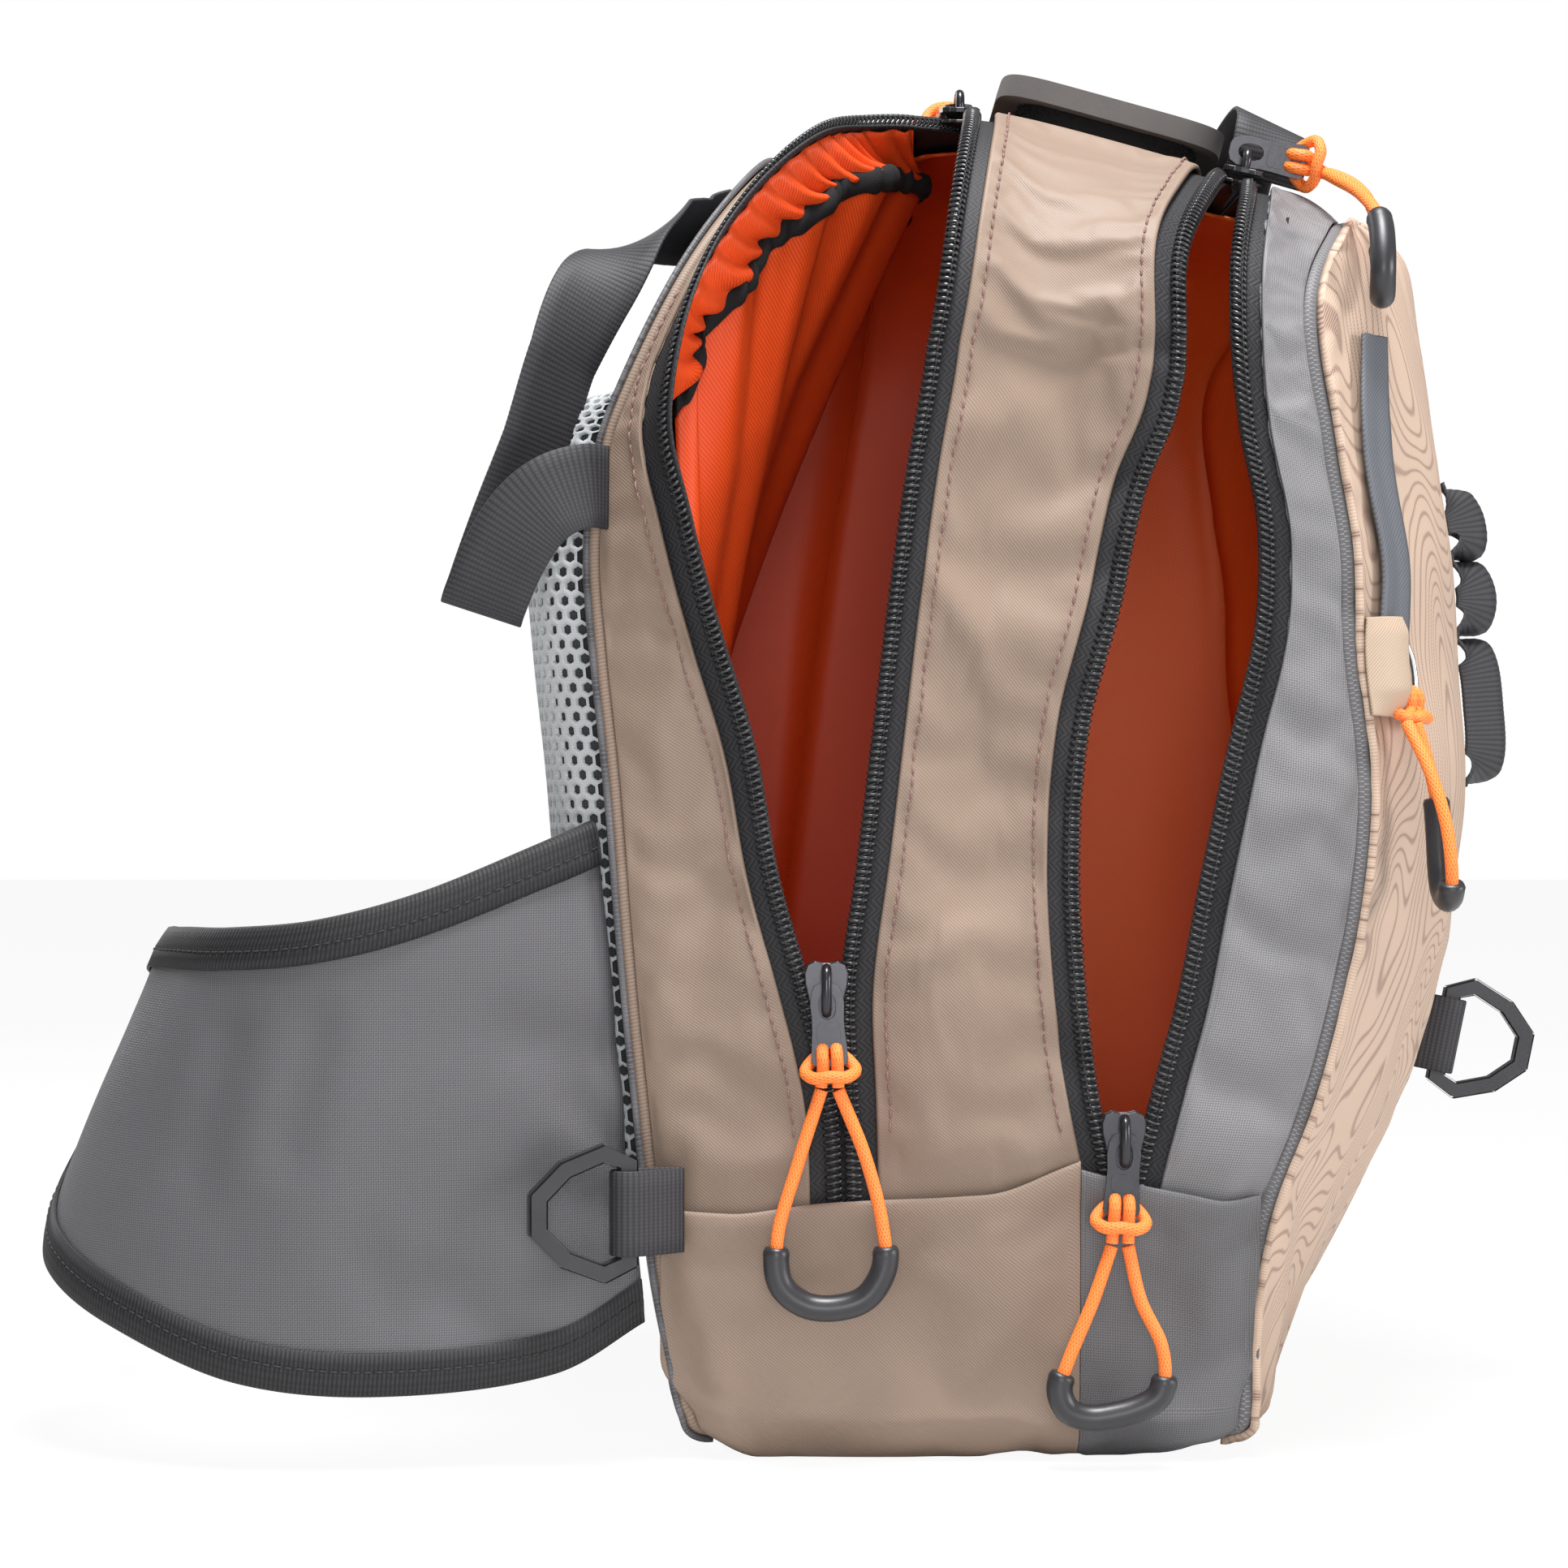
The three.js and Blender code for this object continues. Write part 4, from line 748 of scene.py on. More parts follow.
def seamX(name, at, far):
    near = section(name, at)
    if name == "front":
        return near + section("dome", at) * crownAt(far)
    if name == "back":
        return near + shell["backBulge"] * crownAt(far)
    if name == "lipA":
        return near + (section("lipB", at) - near) * np.minimum(far / shell["zipEnd"], 1)
    if name in ("lipC", "lipD"):
        return near + ((section("lipC", at) + section("lipD", at)) / 2 - near) * far
    if name == "flare":
        return near * (1 - far)
    return near + 0 * far


def skinAt(at, far, x, out):
    at, far, x, out = np.broadcast_arrays(at, far, x, out)
    crown = shell["crownHeight"] - shell["crownFall"] * (
        np.hypot(x - shell["crownX"], shell["crownSoftness"]) - shell["crownSoftness"])
    part = np.minimum(np.floor(at), 2)
    t = at - part
    sine, cosine = np.sin(t * math.pi / 2), np.cos(t * math.pi / 2)
    base, corner, half = shell["baseRadius"], shell["cornerRadius"], shell["halfWidth"]
    low = [part < 1, part < 2]
    sideY = half + shell["sideBulge"] * np.sin(t * math.pi)
    y = np.select(low, [half - base + base * sine, sideY], half - corner * (1 - cosine))
    sideZ = base + (crown - corner - base) * t
    z = np.select(low, [base * (1 - cosine), sideZ], crown - corner * (1 - sine))
    normalY = np.select(low, [sine, np.ones_like(t)], cosine)
    normalZ = np.select(low, [-cosine, np.zeros_like(t)], sine)
    width = y + out * normalY
    return np.stack([x, -width + 2 * width * far, z + out * normalZ], axis=-1)


# distance along a crease and beside it, and the crease's length
def besideCrease(x, z, row):
    x0, z0, x1, z1 = row[:4]
    run = np.array([x1 - x0, z1 - z0], float)
    long = np.hypot(*run)
    run /= long
    return (x - x0) * run[0] + (z - z0) * run[1], (x - x0) * -run[1] + (z - z0) * run[0], long


def foldsAt(x, z):
    depth = np.zeros(np.broadcast(x, z).shape)
    for row in foldRows:
        t, side, long = besideCrease(x, z, row)
        width, deep = row[4:]
        share = np.clip(t / long, 0, 1)
        beyond = t - share * long
        taper = 1 - 0.75 * share
        bend = side + 0.004 * t * t
        reach = width * (0.55 + 0.45 * share)
        depth += deep * taper * np.exp(-(bend / reach) ** 2 - (beyond / width) ** 2)
    return -depth


def outAt(at, far, x, folds=True):
    at, far, x = np.broadcast_arrays(np.asarray(at, float), np.asarray(far, float), np.asarray(x, float))
    out = np.zeros(x.shape)
    for place, middle, depth, up, across in dentRows:
        out -= depth * np.exp(-((at - place) / up) ** 2 - ((x - middle) / across) ** 2) * (1 - far)
    reach = np.minimum(x - seamX("back", at, far), seamX("front", at, far) - x)
    q = 1 - np.clip(reach / shell["rollReach"], 0, 1)
    out -= shell["edgeRoll"] * q * q
    back, lip = seamX("back", at, far), seamX("lipA", at, far)
    share = np.clip((x - back) / (lip - back), 0, 1)
    out += np.where(x > lip + 1, 0, seamX("flare", at, far) * share * share)
    if folds:
        flat = skinAt(at, far, x, 0.0)
        out += foldsAt(x, flat[..., 2]) * (1 - far)
    return out


def spotOf(turn):
    turn = np.asarray(turn, float)
    at = np.where(turn <= 3, turn, np.where(turn < 4, 3.0, 7 - turn))
    far = np.where(turn <= 3, 0.0, np.where(turn < 4, turn - 3, 1.0))
    return at, far


def archTurns(step=1.0):
    start = shell["bootTop"] - 0.03
    return inSteps((start, 3, 4, 7 - start), [int(count / step) for count in (100, 30, 80)])


def stripGrid(turns, columns, fromX, toX, lift=0.0, folds=True):
    at, far = spotOf(turns)
    at, far = at[:, None], far[:, None]
    share = np.asarray(columns)[None, :]
    x = fromX(at, far) + (toX(at, far) - fromX(at, far)) * share
    return skinAt(at, far, x, outAt(at, far, x, folds) + lift)


def toSeam(name, offset=0.0):
    return lambda at, far: seamX(name, at, far) + offset


def rearShare(at, far, reach, most):
    return np.minimum(reach, most * (seamX("lipA", at, far) - seamX("back", at, far)))


def rearEdge(at, far):
    return seamX("lipA", at, far) - rearShare(at, far, shell["clothToLip"], shell["clothMost"])


# a panel between the near and the far seam, domed
def panelAt(name, at, share, offset, inset, dome):
    ends = []
    for far in (0.0, 1.0):
        x = seamX(name, at, np.full_like(at, far))
        point = skinAt(at, far, x, outAt(at, far, x + offset, False) - inset)
        point[..., 0] = x + offset
        ends.append(point)
    grid = ends[0] + (ends[1] - ends[0]) * share[..., None]
    grid[..., 0] += dome(at) * crownAt(share)
    return grid


def panelGrid(name, rows, shares, offset, inset, dome):
    at, share = np.asarray(rows, float)[:, None], np.asarray(shares, float)[None, :]
    return panelAt(name, at, share, offset, inset, dome)


def frontGrid(rows, shares):
    return panelGrid("front", rows, shares, shell["frontOffset"], 0, lambda at: section("dome", at))


def evenDome(height):
    return lambda at: height + 0 * at


# places from the far lower side, under the base and up the near side
def underSpots(low, count):
    spots = [(value, 1.0) for value in low[::-1]]
    spots += [(0.0, share) for share in np.linspace(1, 0, count)[1:-1]]
    return spots + [(value, 0.0) for value in low]


# cords of the zip pulls come first
cordLook = {"diameter": 3.9, "gripDiameter": 7.8, "grip": (5 / 16, 11 / 16), "swell": (0.86, 0.97, 1.03),
            "knotSlim": 0.96, "knotSlot": -18.6, "knotFace": 3.1}
pulls = [
    {"name": "main_low", "turn": 1.405, "x": -46.5, "up": (0, 0, 1), "out": (0, -1, 0),
     "tab": (0.05, 0, -1),
     "route": [(-48, -141, 112), (-55, -141.5, 90), (-61, -142, 68), (-60, -142, 55), (-53, -142, 49),
               (-44, -142, 48), (-35, -142, 51), (-29.5, -142, 60), (-30, -142, 72), (-35, -141.5, 92),
               (-43, -141, 112)]},
    {"name": "second_low", "turn": 1.262, "x": 41.5, "up": (0, 0, 1), "out": (0, -1, 0),
     "tab": (-0.05, 0, -1),
     "route": [(37.5, -140, 66), (32, -140.5, 50), (24.5, -141, 32), (22, -141, 23.8),
               (24.4, -141, 18), (30.2, -141, 15.6), (38, -141, 16.3), (46, -141, 18.6),
               (51, -141, 21.8), (53, -141, 27.5), (52, -141, 37), (46, -140.5, 50),
               (42.3, -140, 66)]},
    {"name": "second_top", "turn": 2.88, "x": 86, "up": (0, -0.98, -0.18), "out": (0.2, -0.18, 0.96),
     "tab": (0.98, 0, -0.2), "upright": True,
     "route": [(110, -57, 397.5), (117, -61, 395), (122.5, -68, 390), (125, -77, 382.5),
               (125.5, -86, 373), (125.5, -93.5, 363), (124.6, -99.3, 354.3), (123.4, -104.5, 350.8),
               (122.4, -110.65, 352), (122, -114.1, 357.2), (122.2, -112.9, 363.4), (122.3, -106, 373.8),
               (119.5, -90, 384.3), (114.5, -73, 392), (110, -61.8, 397.5)]},
    {"name": "main_top", "turn": 3.12, "x": -2, "up": (0, -1, 0), "out": (0, 0, 1), "tab": (-0.1, 0.99, 0),
     "route": [(-9, -5, 423), (-20, 6, 423), (-31, 14, 420.5), (-37, 25, 419.5), (-33, 35, 419.5),
               (-23, 38, 420.5), (-14, 35, 421.5), (-8, 25, 423), (-4, 12, 424), (-4.2, -5, 423)]},
    {"name": "pocket", "up": (0, 0, 1), "out": (0.77, -0.64, 0), "tab": (0, 0, -1), "at": 1.8,
     "share": 0.055, "grip": (3 / 16, 9 / 16),
     "route": [(130.2, -123.8, 220), (133.2, -125.4, 209), (135.2, -127, 199), (136, -127.9, 188),
               (136.6, -128.2, 176), (136.9, -130.55, 170.35), (137.2, -136.2, 168),
               (137.1, -141.85, 170.35), (136.8, -144.2, 176), (135.4, -143, 190), (131.6, -137, 206),
               (126.7, -127.8, 220)]},
]
seating = {"lift": 1.2, "pocketLift": 1.6, "bridge": 7.1, "tabHole": -3.0, "tabMiddle": 3.1}


def frameMatrix(first, second, third, place):
    matrix = Matrix.Identity(4)
    for column, axis in enumerate((first, second, third, place)):
        for row in range(3):
            matrix[row][column] = axis[row]
    return matrix


def placed(matrix, points):
    return [tuple(matrix @ Vector(point)) for point in points]


def pullFrames(pull):
    out, up = unit(pull["out"]), unit(pull["up"])
    if "turn" in pull:
        at, far = spotOf(pull["turn"])
        seat = skinAt(at, far, pull["x"], outAt(at, far, pull["x"], False)) + out * seating["lift"]
    else:
        lift = seating["lift"] + seating["pocketLift"]
        seat = frontGrid([pull["at"]], [pull["share"]])[0, 0] + out * lift
    sliderFrame = frameMatrix(np.cross(up, out), up, out, seat)
    rise = -unit(pull["tab"])
    upright = pull.get("upright", False)
    face = up if upright else unit(out - rise * np.dot(out, rise))
    hook = seat
    if upright:
        hook = seat + out * seating["bridge"] - rise * seating["tabHole"] - face * seating["tabMiddle"]
    return sliderFrame, frameMatrix(np.cross(rise, face), rise, face, hook)


def knotParts(tabFrame, starts):
    inverse = tabFrame.inverted()
    radius = cordLook["diameter"] / 2 * cordLook["knotSlim"]
    slot, face = cordLook["knotSlot"], cordLook["knotFace"]
    parts = []
    order = sorted(starts, key=lambda p: (inverse @ Vector(p)).x)
    for side, start in zip((-1, 1), order):
        end = np.array(inverse @ Vector(start))
        rows = [(side * 1.9, slot + 0.6, face - 2.6), (side * 2.0, slot + 1.4, face + 0.6),
                (side * 2.1, slot - 0.6, face + 2.6), (side * 2.1, slot - 4.0, face + 2.2),
                tuple(end + np.array([0, 0.8, 0]))]
        parts.append(tube(spline(placed(tabFrame, rows), 24), radius, 10))
    half = [(-1.9, slot + 0.4, face - 2.8), (-5.6, slot - 2.4, face - 2.2), (-7.4, slot - 5.2, face + 0.6),
            (-4.6, slot - 6.8, face + 4.2)]
    bight = half + [(0, slot - 6.4, face + 5.2)] + [(-x, y, z) for x, y, z in half[::-1]]
    parts.append(tube(spline(placed(tabFrame, bight), 48), radius, 10))
    return joined(parts)


for pull in pulls:
    name = pull["name"]
    pull["sliderFrame"], pull["tabFrame"] = pullFrames(pull)
    path = spline(pull["route"], 140)
    strand = tube(path, cordLook["diameter"] / 2, 12)
    cordPiece = shapePiece(name + "_braid", strand, "cord", [name + "_cord"])
    knot = shapePiece(name + "_knot", knotParts(pull["tabFrame"], [path[0], path[-1]]), "cord")
    steps = np.linspace(0, 1, len(path))
    gripFrom, gripTo = pull.get("grip", cordLook["grip"])
    gripPath = evenly(path[(steps >= gripFrom) & (steps <= gripTo)], 60)
    swell = np.ones(60)
    swell[:3] = cordLook["swell"]
    swell[-3:] = cordLook["swell"][::-1]
    sleeve = tube(gripPath, cordLook["gripDiameter"] / 2 * swell, 18)
    grip = shapePiece(name + "_sleeve", sleeve, "plastic", [name + "_grip"])
print("cords laid")


# zip sliders, pull tabs and the wire loop of the pocket's pull
hardware = {
    "slider": [(1.2, 8.0), (3.4, 8.6), (5.6, 7.6), (6.5, 5.0), (6.3, 2.0), (5.2, -2.6), (4.3, -6.0),
               (3.7, -8.0), (2.2, -8.7)],
    "tab": [(1.6, 2.4), (3.4, 1.6), (4.5, -0.6), (5.0, -4.0), (4.7, -8.5), (4.8, -12.0), (5.2, -17.0),
            (5.5, -20.0), (5.0, -21.6), (3.7, -22.3)],
    "bridge": [(0, 6.3, 1.0), (0, 6.5, 4.0), (0, 5.2, 6.2), (0, 2.2, 7.0), (0, -2.2, 7.0), (0, -5.2, 6.2),
               (0, -6.5, 4.0), (0, -6.3, 1.0)],
    "loop": [(-0.4, -17.0, 3.1), (-3.4, -9.0, 2.6), (-5.2, -2.5, 2.0), (-2.8, 0.6, 2.0), (0.8, -2.5, 2.2),
             (4.0, -9.0, 2.8), (4.6, -17.0, 3.1), (2.0, -19.8, 3.1), (-0.4, -17.0, 3.1)],
    "bridgeWire": 1.45, "loopWire": 0.9, "sliderThick": 1.8, "underThick": 1.2, "underDrop": 3.4,
    "tabThick": 1.5, "tabRise": 2.4, "faceThick": 0.5, "faceRise": 3.7,
    "pocketScale": 0.62, "pocketShift": (-4.6, 0, -0.4),
}


def mirroredOutline(side):
    return side + [(-x, y) for x, y in side[::-1]]


def metalPlate(name, outline, holes, thick, base, rise, replaces=(), bevel=0.4):
    matrix = base @ Matrix.Translation((0, 0, rise))
    plate(name, outline, holes, thick, matrix, "metal", replaces, bevel)


sliderOutline, tabOutline = mirroredOutline(hardware["slider"]), mirroredOutline(hardware["tab"])
tabHoles = [oval(5.2, 8.0, -4.5, 18, 2.4), oval(7.4, 3.2, -18.7, 18, 4.0)]
tabFace = oval(7.0, 5.4, -12.6, 20, 5.0)
for pull in pulls:
    name, base, tabFrame = pull["name"], pull["sliderFrame"], pull["tabFrame"]
    if name == "pocket":  # small and flat, under its hood
        base = base @ Matrix.Translation(hardware["pocketShift"]) @ Matrix.Scale(hardware["pocketScale"], 4)
    metalPlate(name + "_plate", sliderOutline, [], hardware["sliderThick"], base, 0,
               [name + "_slider"], 0.6)
    metalPlate(name + "_underplate", sliderOutline, [], hardware["underThick"], base,
               -hardware["underDrop"])
    if name == "pocket":
        loop = tube(spline(placed(tabFrame, hardware["loop"]), 60), hardware["loopWire"], 10, False)
        shapePiece("pocket_wire", loop, "wire", ["pocket_tab"])
        continue
    arch = tube(spline(placed(base, hardware["bridge"]), 28), hardware["bridgeWire"], 12)
    shapePiece(name + "_bridge", arch, "metal")
    metalPlate(name + "_leaf", tabOutline, tabHoles, hardware["tabThick"], tabFrame, hardware["tabRise"],
               [name + "_tab"], 0.35)
    metalPlate(name + "_leaf_face", tabFace, [], hardware["faceThick"], tabFrame, hardware["faceRise"],
               bevel=0.2)
print("pulls ready")


# gussets: cloth between the seams and the zips, hems turned under beside the tape
gussetCloth = {"thick": 1.5, "hemDrop": 1.1, "hemRise": 0.25, "slack": 0.03, "cap": 5, "tuck": 2.2,
               "tuckFrom": 1.25, "tuckOver": 0.04, "firmFrom": 2.86, "firmTo": 4.14}


def hemmed(grid, edges):
    normals = gridNormals(grid)
    outward = np.sign(np.sum(normals * (grid - grid.mean(axis=(0, 1))), axis=2).mean())
    for edge in edges:
        inner = 1 if edge == 0 else -2
        grid[:, edge] -= normals[:, edge] * outward * gussetCloth["hemDrop"]
        grid[:, inner] += normals[:, inner] * outward * gussetCloth["hemRise"]
    return grid


def edgeColumns(count, close=0.025):
    inner = np.linspace(0.07, 0.93, count - 6)
    return np.concatenate([[0, close * 0.4, close], inner, [1 - close, 1 - close * 0.4, 1]])


def meshGrid(piece, shape):
    flat = np.empty(shape[0] * shape[1] * 3)
    piece.data.vertices.foreach_get("co", flat)
    return flat.reshape(shape) / mm


settledGrids = {}
turns = archTurns()
crownRows = np.flatnonzero((turns > gussetCloth["firmFrom"]) & (turns < gussetCloth["firmTo"]))
toBack, toFront = toSeam("back"), toSeam("front")
mainRear, mainFront = toSeam("lipB", shell["clothToLip"]), toSeam("lipC", -shell["clothToLip"])
greyRear = toSeam("lipD", shell["clothToLip"])
gussets = [
    ("rear_side", "rear_gusset", "taupe", 16, toBack, rearEdge, [-1]),
    ("main_side", "main_gusset", "taupe", 30, mainRear, mainFront, [0, -1]),
    ("front_side", "front_gusset", "grey", 18, greyRear, toFront, [0]),
]
low = np.clip((gussetCloth["tuckFrom"] - spotOf(turns)[0]) / gussetCloth["tuckOver"], 0, 1)[:, None]
for name, node, finish, count, fromX, toX, edges in gussets:
    # the lower end tucks in under the boot
    grid = stripGrid(turns, edgeColumns(count), fromX, toX, -gussetCloth["tuck"] * low)
    grid = hemmed(grid, edges)
    piece = wallPiece(name, grid, finish, gussetCloth["thick"], [node])
    slacken(piece, grid, gussetCloth["slack"], gussetCloth["cap"], held=3, firm=crownRows)
    settledGrids[name] = meshGrid(piece, grid.shape)
print("gussets sewn")


# boot: lower cloth with its top edge lapped over the gussets
boot = {
    "thick": 1.2, "lap": 1.7, "slack": 0.02, "cap": 2.5, "top": 0.2, "sideTall": 309,
    "fade": 0.05, "roll": 0.006, "rollDrop": 0.9,
    "rearEdge": [(-110, 1), (-94, 0.5), (-72, -2), (-49, 0), (-14, 0), (4, 1), (12, 4), (20, 8), (29, 12)],
    "frontEdge": [(29, 9.5), (36, 8), (49, 5.5), (64, 3.5), (72, 2), (84, 5), (120, 7)],
}


def bootGrid(columns, fromX, toX, edge):
    edgeX, edgeRise = np.array(edge, float).T
    low = np.concatenate([np.linspace(0, 1, 9)[:-1], 1 + np.linspace(0, 1, 16) ** 0.8])
    q = np.asarray(columns)
    rows = []
    for value, far in underSpots(low, 16):
        guess = np.full_like(q, min(value, shell["bootTop"]))
        x = fromX(guess, np.full_like(q, far)) * (1 - q) + toX(guess, np.full_like(q, far)) * q
        top = boot["top"] + np.interp(x, edgeX, edgeRise) / boot["sideTall"]
        at = np.where(value > 1, 1 + (value - 1) * top, value)
        fade = np.clip((at - 1 - top + boot["fade"]) / boot["fade"], 0, 1)
        rolled = np.clip((at - 1 - top + boot["roll"]) / boot["roll"], 0, 1)
        lift = boot["lap"] * fade * fade * (3 - 2 * fade) - boot["rollDrop"] * rolled
        rows.append(skinAt(at, far, x, outAt(at, far, x) + lift))
    return np.array(rows)


def joint(offset):
    return lambda at, far: shell["bootJointX"] + offset + 0 * at


rearBoot = bootGrid(edgeColumns(30), toBack, joint(-0.1), boot["rearEdge"])
frontBoot = bootGrid(edgeColumns(18), joint(0.1), toFront, boot["frontEdge"])
for name, grid, finish, node in (("boot_taupe", rearBoot, "taupe", "boot_rear"),
                                 ("boot_grey", frontBoot, "bootGrey", "boot_front")):
    piece = wallPiece(name, grid, finish, boot["thick"], [node])
    slacken(piece, grid, boot["slack"], boot["cap"], held=3, gravity=0.0)


# front panel, crowned between its seams, gathered a little where it turns under
frontPanel = {"thick": 2.4, "pucker": 0.9, "puckerPitch": 8.0, "ripple": 1.5, "slack": 0.025, "cap": 4.0}
panelRows = inSteps((0, 1, 2, 3), (14, 60, 26))
panelShares = np.concatenate([[0, 0.008, 0.02], np.linspace(0.05, 0.95, 40), [0.98, 0.992, 1]])
panel = frontGrid(panelRows, panelShares)
nearEdge = np.exp(-((panelShares / 0.035) ** 2)) + np.exp(-(((1 - panelShares) / 0.035) ** 2))
tight = 0.35 + 0.65 * np.exp(-(((panelRows - 1.22) / 0.16) ** 2))
wave = np.sin(panel[..., 2] * 2 * math.pi / frontPanel["puckerPitch"] + 2.2 * softNoise(panel, 30, 3))
inset = (panelShares > 0.001) & (panelShares < 0.999)
panel[..., 0] += wave * frontPanel["pucker"] * nearEdge[None, :] * tight[:, None] * inset[None, :]
calm = 1 - np.abs(2 * panelShares - 1) ** 8
panel[..., 0] += frontPanel["ripple"] * softNoise(panel, 42, 5) * calm[None, :]
panel = panel[:, ::-1]
frontPiece = wallPiece("front_print", panel, "print", frontPanel["thick"], ["front_panel"])
slacken(frontPiece, panel, frontPanel["slack"], frontPanel["cap"])
backRows = inSteps((0, 1, 2, 3), (8, 24, 14))
backDome = evenDome(shell["backBulge"])
backSheet = panelGrid("back", backRows, np.linspace(0, 1, 25), shell["backOffset"], 0, backDome)
wallPiece("back_cloth", backSheet, "wing", 1.8, ["back_panel"])


# seams: a welt closes the gap where two cloths meet
allTurns = inSteps((0, 1, 3, 4, 6, 7), (10, 90, 30, 80, 10))
at, far = spotOf(allTurns)
for name, seam, offset, radius, finish in (
        ("rear_welt", "back", -1.7, 2.6, "taupe"), ("front_welt", "front", 2.0, 3.1, "grey")):
    x = seamX(seam, at, far)
    path = skinAt(at, far, x, outAt(at, far, x) - radius - 0.3)
    path[:, 0] += offset
    shapePiece(name, tube(path, radius, 8), finish)
print("shell closed")


# linings seen through the open zips
lining = {"thick": 1.0, "fold": 2.6, "inset": shell["liningInset"], "guardFrom": 0.18, "guardOver": 0.25,
          "frontTuck": 6, "tuckOver": 0.2}


def rippled(grid, amount, scale, seed, stretch=(1, 1, 0.35)):
    normals = gridNormals(grid)
    bumps = softNoise(grid * np.array(stretch), scale, seed)
    return grid + normals * (bumps * amount)[..., None]


liningTurns = archTurns(2.0)
tapeEnd = shell["tapeReach"] + 2


def liningStop(at, far):
    return seamX("lipA", at, far) - rearShare(at, far, tapeEnd, shell["liningMost"])


def frontStop(at, far):
    return seamX("front", at, far) - lining["frontTuck"] * np.clip(1 - far / lining["tuckOver"], 0, 1)


mainStart, mainStop = toSeam("lipB", tapeEnd), toSeam("lipC", -shell["tapeReach"] - 9)


# behind a closed zip the lining runs on as a guard over the tape
def guarded(start, guard):
    def edge(at, far):
        closed = np.clip((far - lining["guardFrom"]) / lining["guardOver"], 0, 1)
        return start(at, far) - guard * closed * closed * (3 - 2 * closed)
    return edge


sides = [
    ("rear_lining", "lining_rear", "lining", toSeam("back", 0), liningStop, 6),
    ("main_lining", "lining_main", "lining", guarded(mainStart, 37), mainStop, 12),
    # the front lining takes the lighter orange copy: painted light for the deep second compartment
    ("front_lining", "lining_front", "paintedLitLining", guarded(greyRear, 33), frontStop, 9),
]
for name, node, finish, fromX, toX, count in sides:
    grid = stripGrid(liningTurns, np.linspace(0, 1, count), fromX, toX, -lining["inset"])
    wallPiece(name, rippled(grid, 0.8, 18, 7), finish, lining["thick"], [node], subdivide=0)
wallRows = inSteps((0.4, 1, 2, 2.93), (5, 40, 20))
wallShares = np.linspace(0, 1, 48)
walls = [
    ("back_lining", "lining_back", "back", 2, 8.5, evenDome(shell["backBulge"] + 1), 11),
    ("panel_lining", "lining_panel", "front", -2, 8.5, lambda at: 0.92 * section("dome", at), 13),
    ("divider_cloth", "divider", "lipC", -19, 7.5, evenDome(4), 17),
]
for name, node, seam, offset, edge, dome, seed in walls:
    grid = panelGrid(seam, wallRows, wallShares, offset, edge, dome)
    if seam == "back":
        grid = grid[:, ::-1]
    calm = (1 - np.abs(2 * wallShares - 1) ** 6)[None, :, None]
    grid = grid + (rippled(grid, lining["fold"], 26, seed) - grid) * calm
    # the panel lining takes the lighter orange copy: painted light for the deep second compartment
    finish = "paintedLitLining" if name == "panel_lining" else "lining"
    wallPiece(name, grid, finish, lining["thick"], [node], subdivide=0)
floorSpots = np.array(underSpots(np.linspace(0.0, 1.17, 10), 12))
at, far = floorSpots[:, :1], floorSpots[:, 1:]
q = np.linspace(0, 1, 12)[None, :]
for name, node, fromX, toX in (
        ("main_floor", "floor_main", toSeam("back", 4), joint(-12)),
        ("front_floor", "floor_front", joint(-4), toSeam("front", -4))):
    x = fromX(at, far) * (1 - q) + toX(at, far) * q
    grid = skinAt(at, far, x, outAt(at, far, x, False) - lining["inset"])
    wallPiece(name, grid, "lining", lining["thick"], [node])


# inner pocket gathered on its elastic
pocket = {
    "edge": [(0, -92, -113, 320), (0.12, -77, -104, 352), (0.25, -50, -83, 384), (0.37, -28, -58, 398),
             (0.5, -15, 0, 404), (0.63, -28, 58, 398), (0.75, -50, 83, 384), (0.88, -77, 104, 352),
             (1, -92, 113, 320)],
    "gather": 2.5, "gathers": 9, "bottom": 1.42, "band": 8, "hang": 1.6, "pleats": 30, "pleat": 0.25,
    "fold": 10.0, "thick": 0.9, "columns": 190, "bandSides": 14, "bandSteps": 420,
}


def pocketEdge(share):
    x, y, z = (columnAt(pocket["edge"], column, share) for column in (1, 2, 3))
    return np.stack([x + pocket["gather"] * np.sin(share * pocket["gathers"] * 2 * math.pi), y, z], axis=-1)


columns = pocket["columns"]
pocketShares = np.linspace(1, 0, columns)
drops = inSteps((1.0, 0.75, 0), (16, 30))
hem = panelGrid("back", [pocket["bottom"]], pocketShares, 14, 14.5, backDome)[0]
edge = pocketEdge(pocketShares)
rows = []
for drop in drops:
    row = hem + (edge - hem) * drop
    row[:, 0] = hem[:, 0] + (edge[:, 0] - hem[:, 0]) * drop ** pocket["hang"]
    row[:, 2] -= pocket["band"] * 0.7 * drop
    rows.append(row)
grid = np.array(rows)
normals = gridNormals(grid)
pleatFade = np.clip((drops - 0.7) / 0.3, 0, 1)[:, None] ** 1.5
pleats = np.sin(pocketShares * 2 * math.pi * pocket["pleats"] + 3 * softNoise(edge, 24, 21))[None, :]
broadSeed = np.stack([pocketShares * 240, np.zeros(columns), np.zeros(columns)], axis=1)
broadRows = np.array([softNoise(broadSeed + np.array([0, drop * 60, 0]), 44, 4) for drop in drops])
broadFade = (np.clip(drops / 0.2, 0, 1) * np.clip((0.99 - drops) / 0.25, 0, 1))[:, None]
bulges = pleats * pleatFade * pocket["pleat"] + broadRows * broadFade * pocket["fold"]
grid = grid + normals * bulges[..., None]
pocketPiece = wallPiece("pocket_cloth", grid, "lining", pocket["thick"], ["inner_pocket"], subdivide=0)
bandSteps, bandSides = pocket["bandSteps"], pocket["bandSides"]
ring = np.linspace(0, 2 * math.pi, bandSides, endpoint=False)
elasticShares = np.linspace(1, 0, bandSteps)
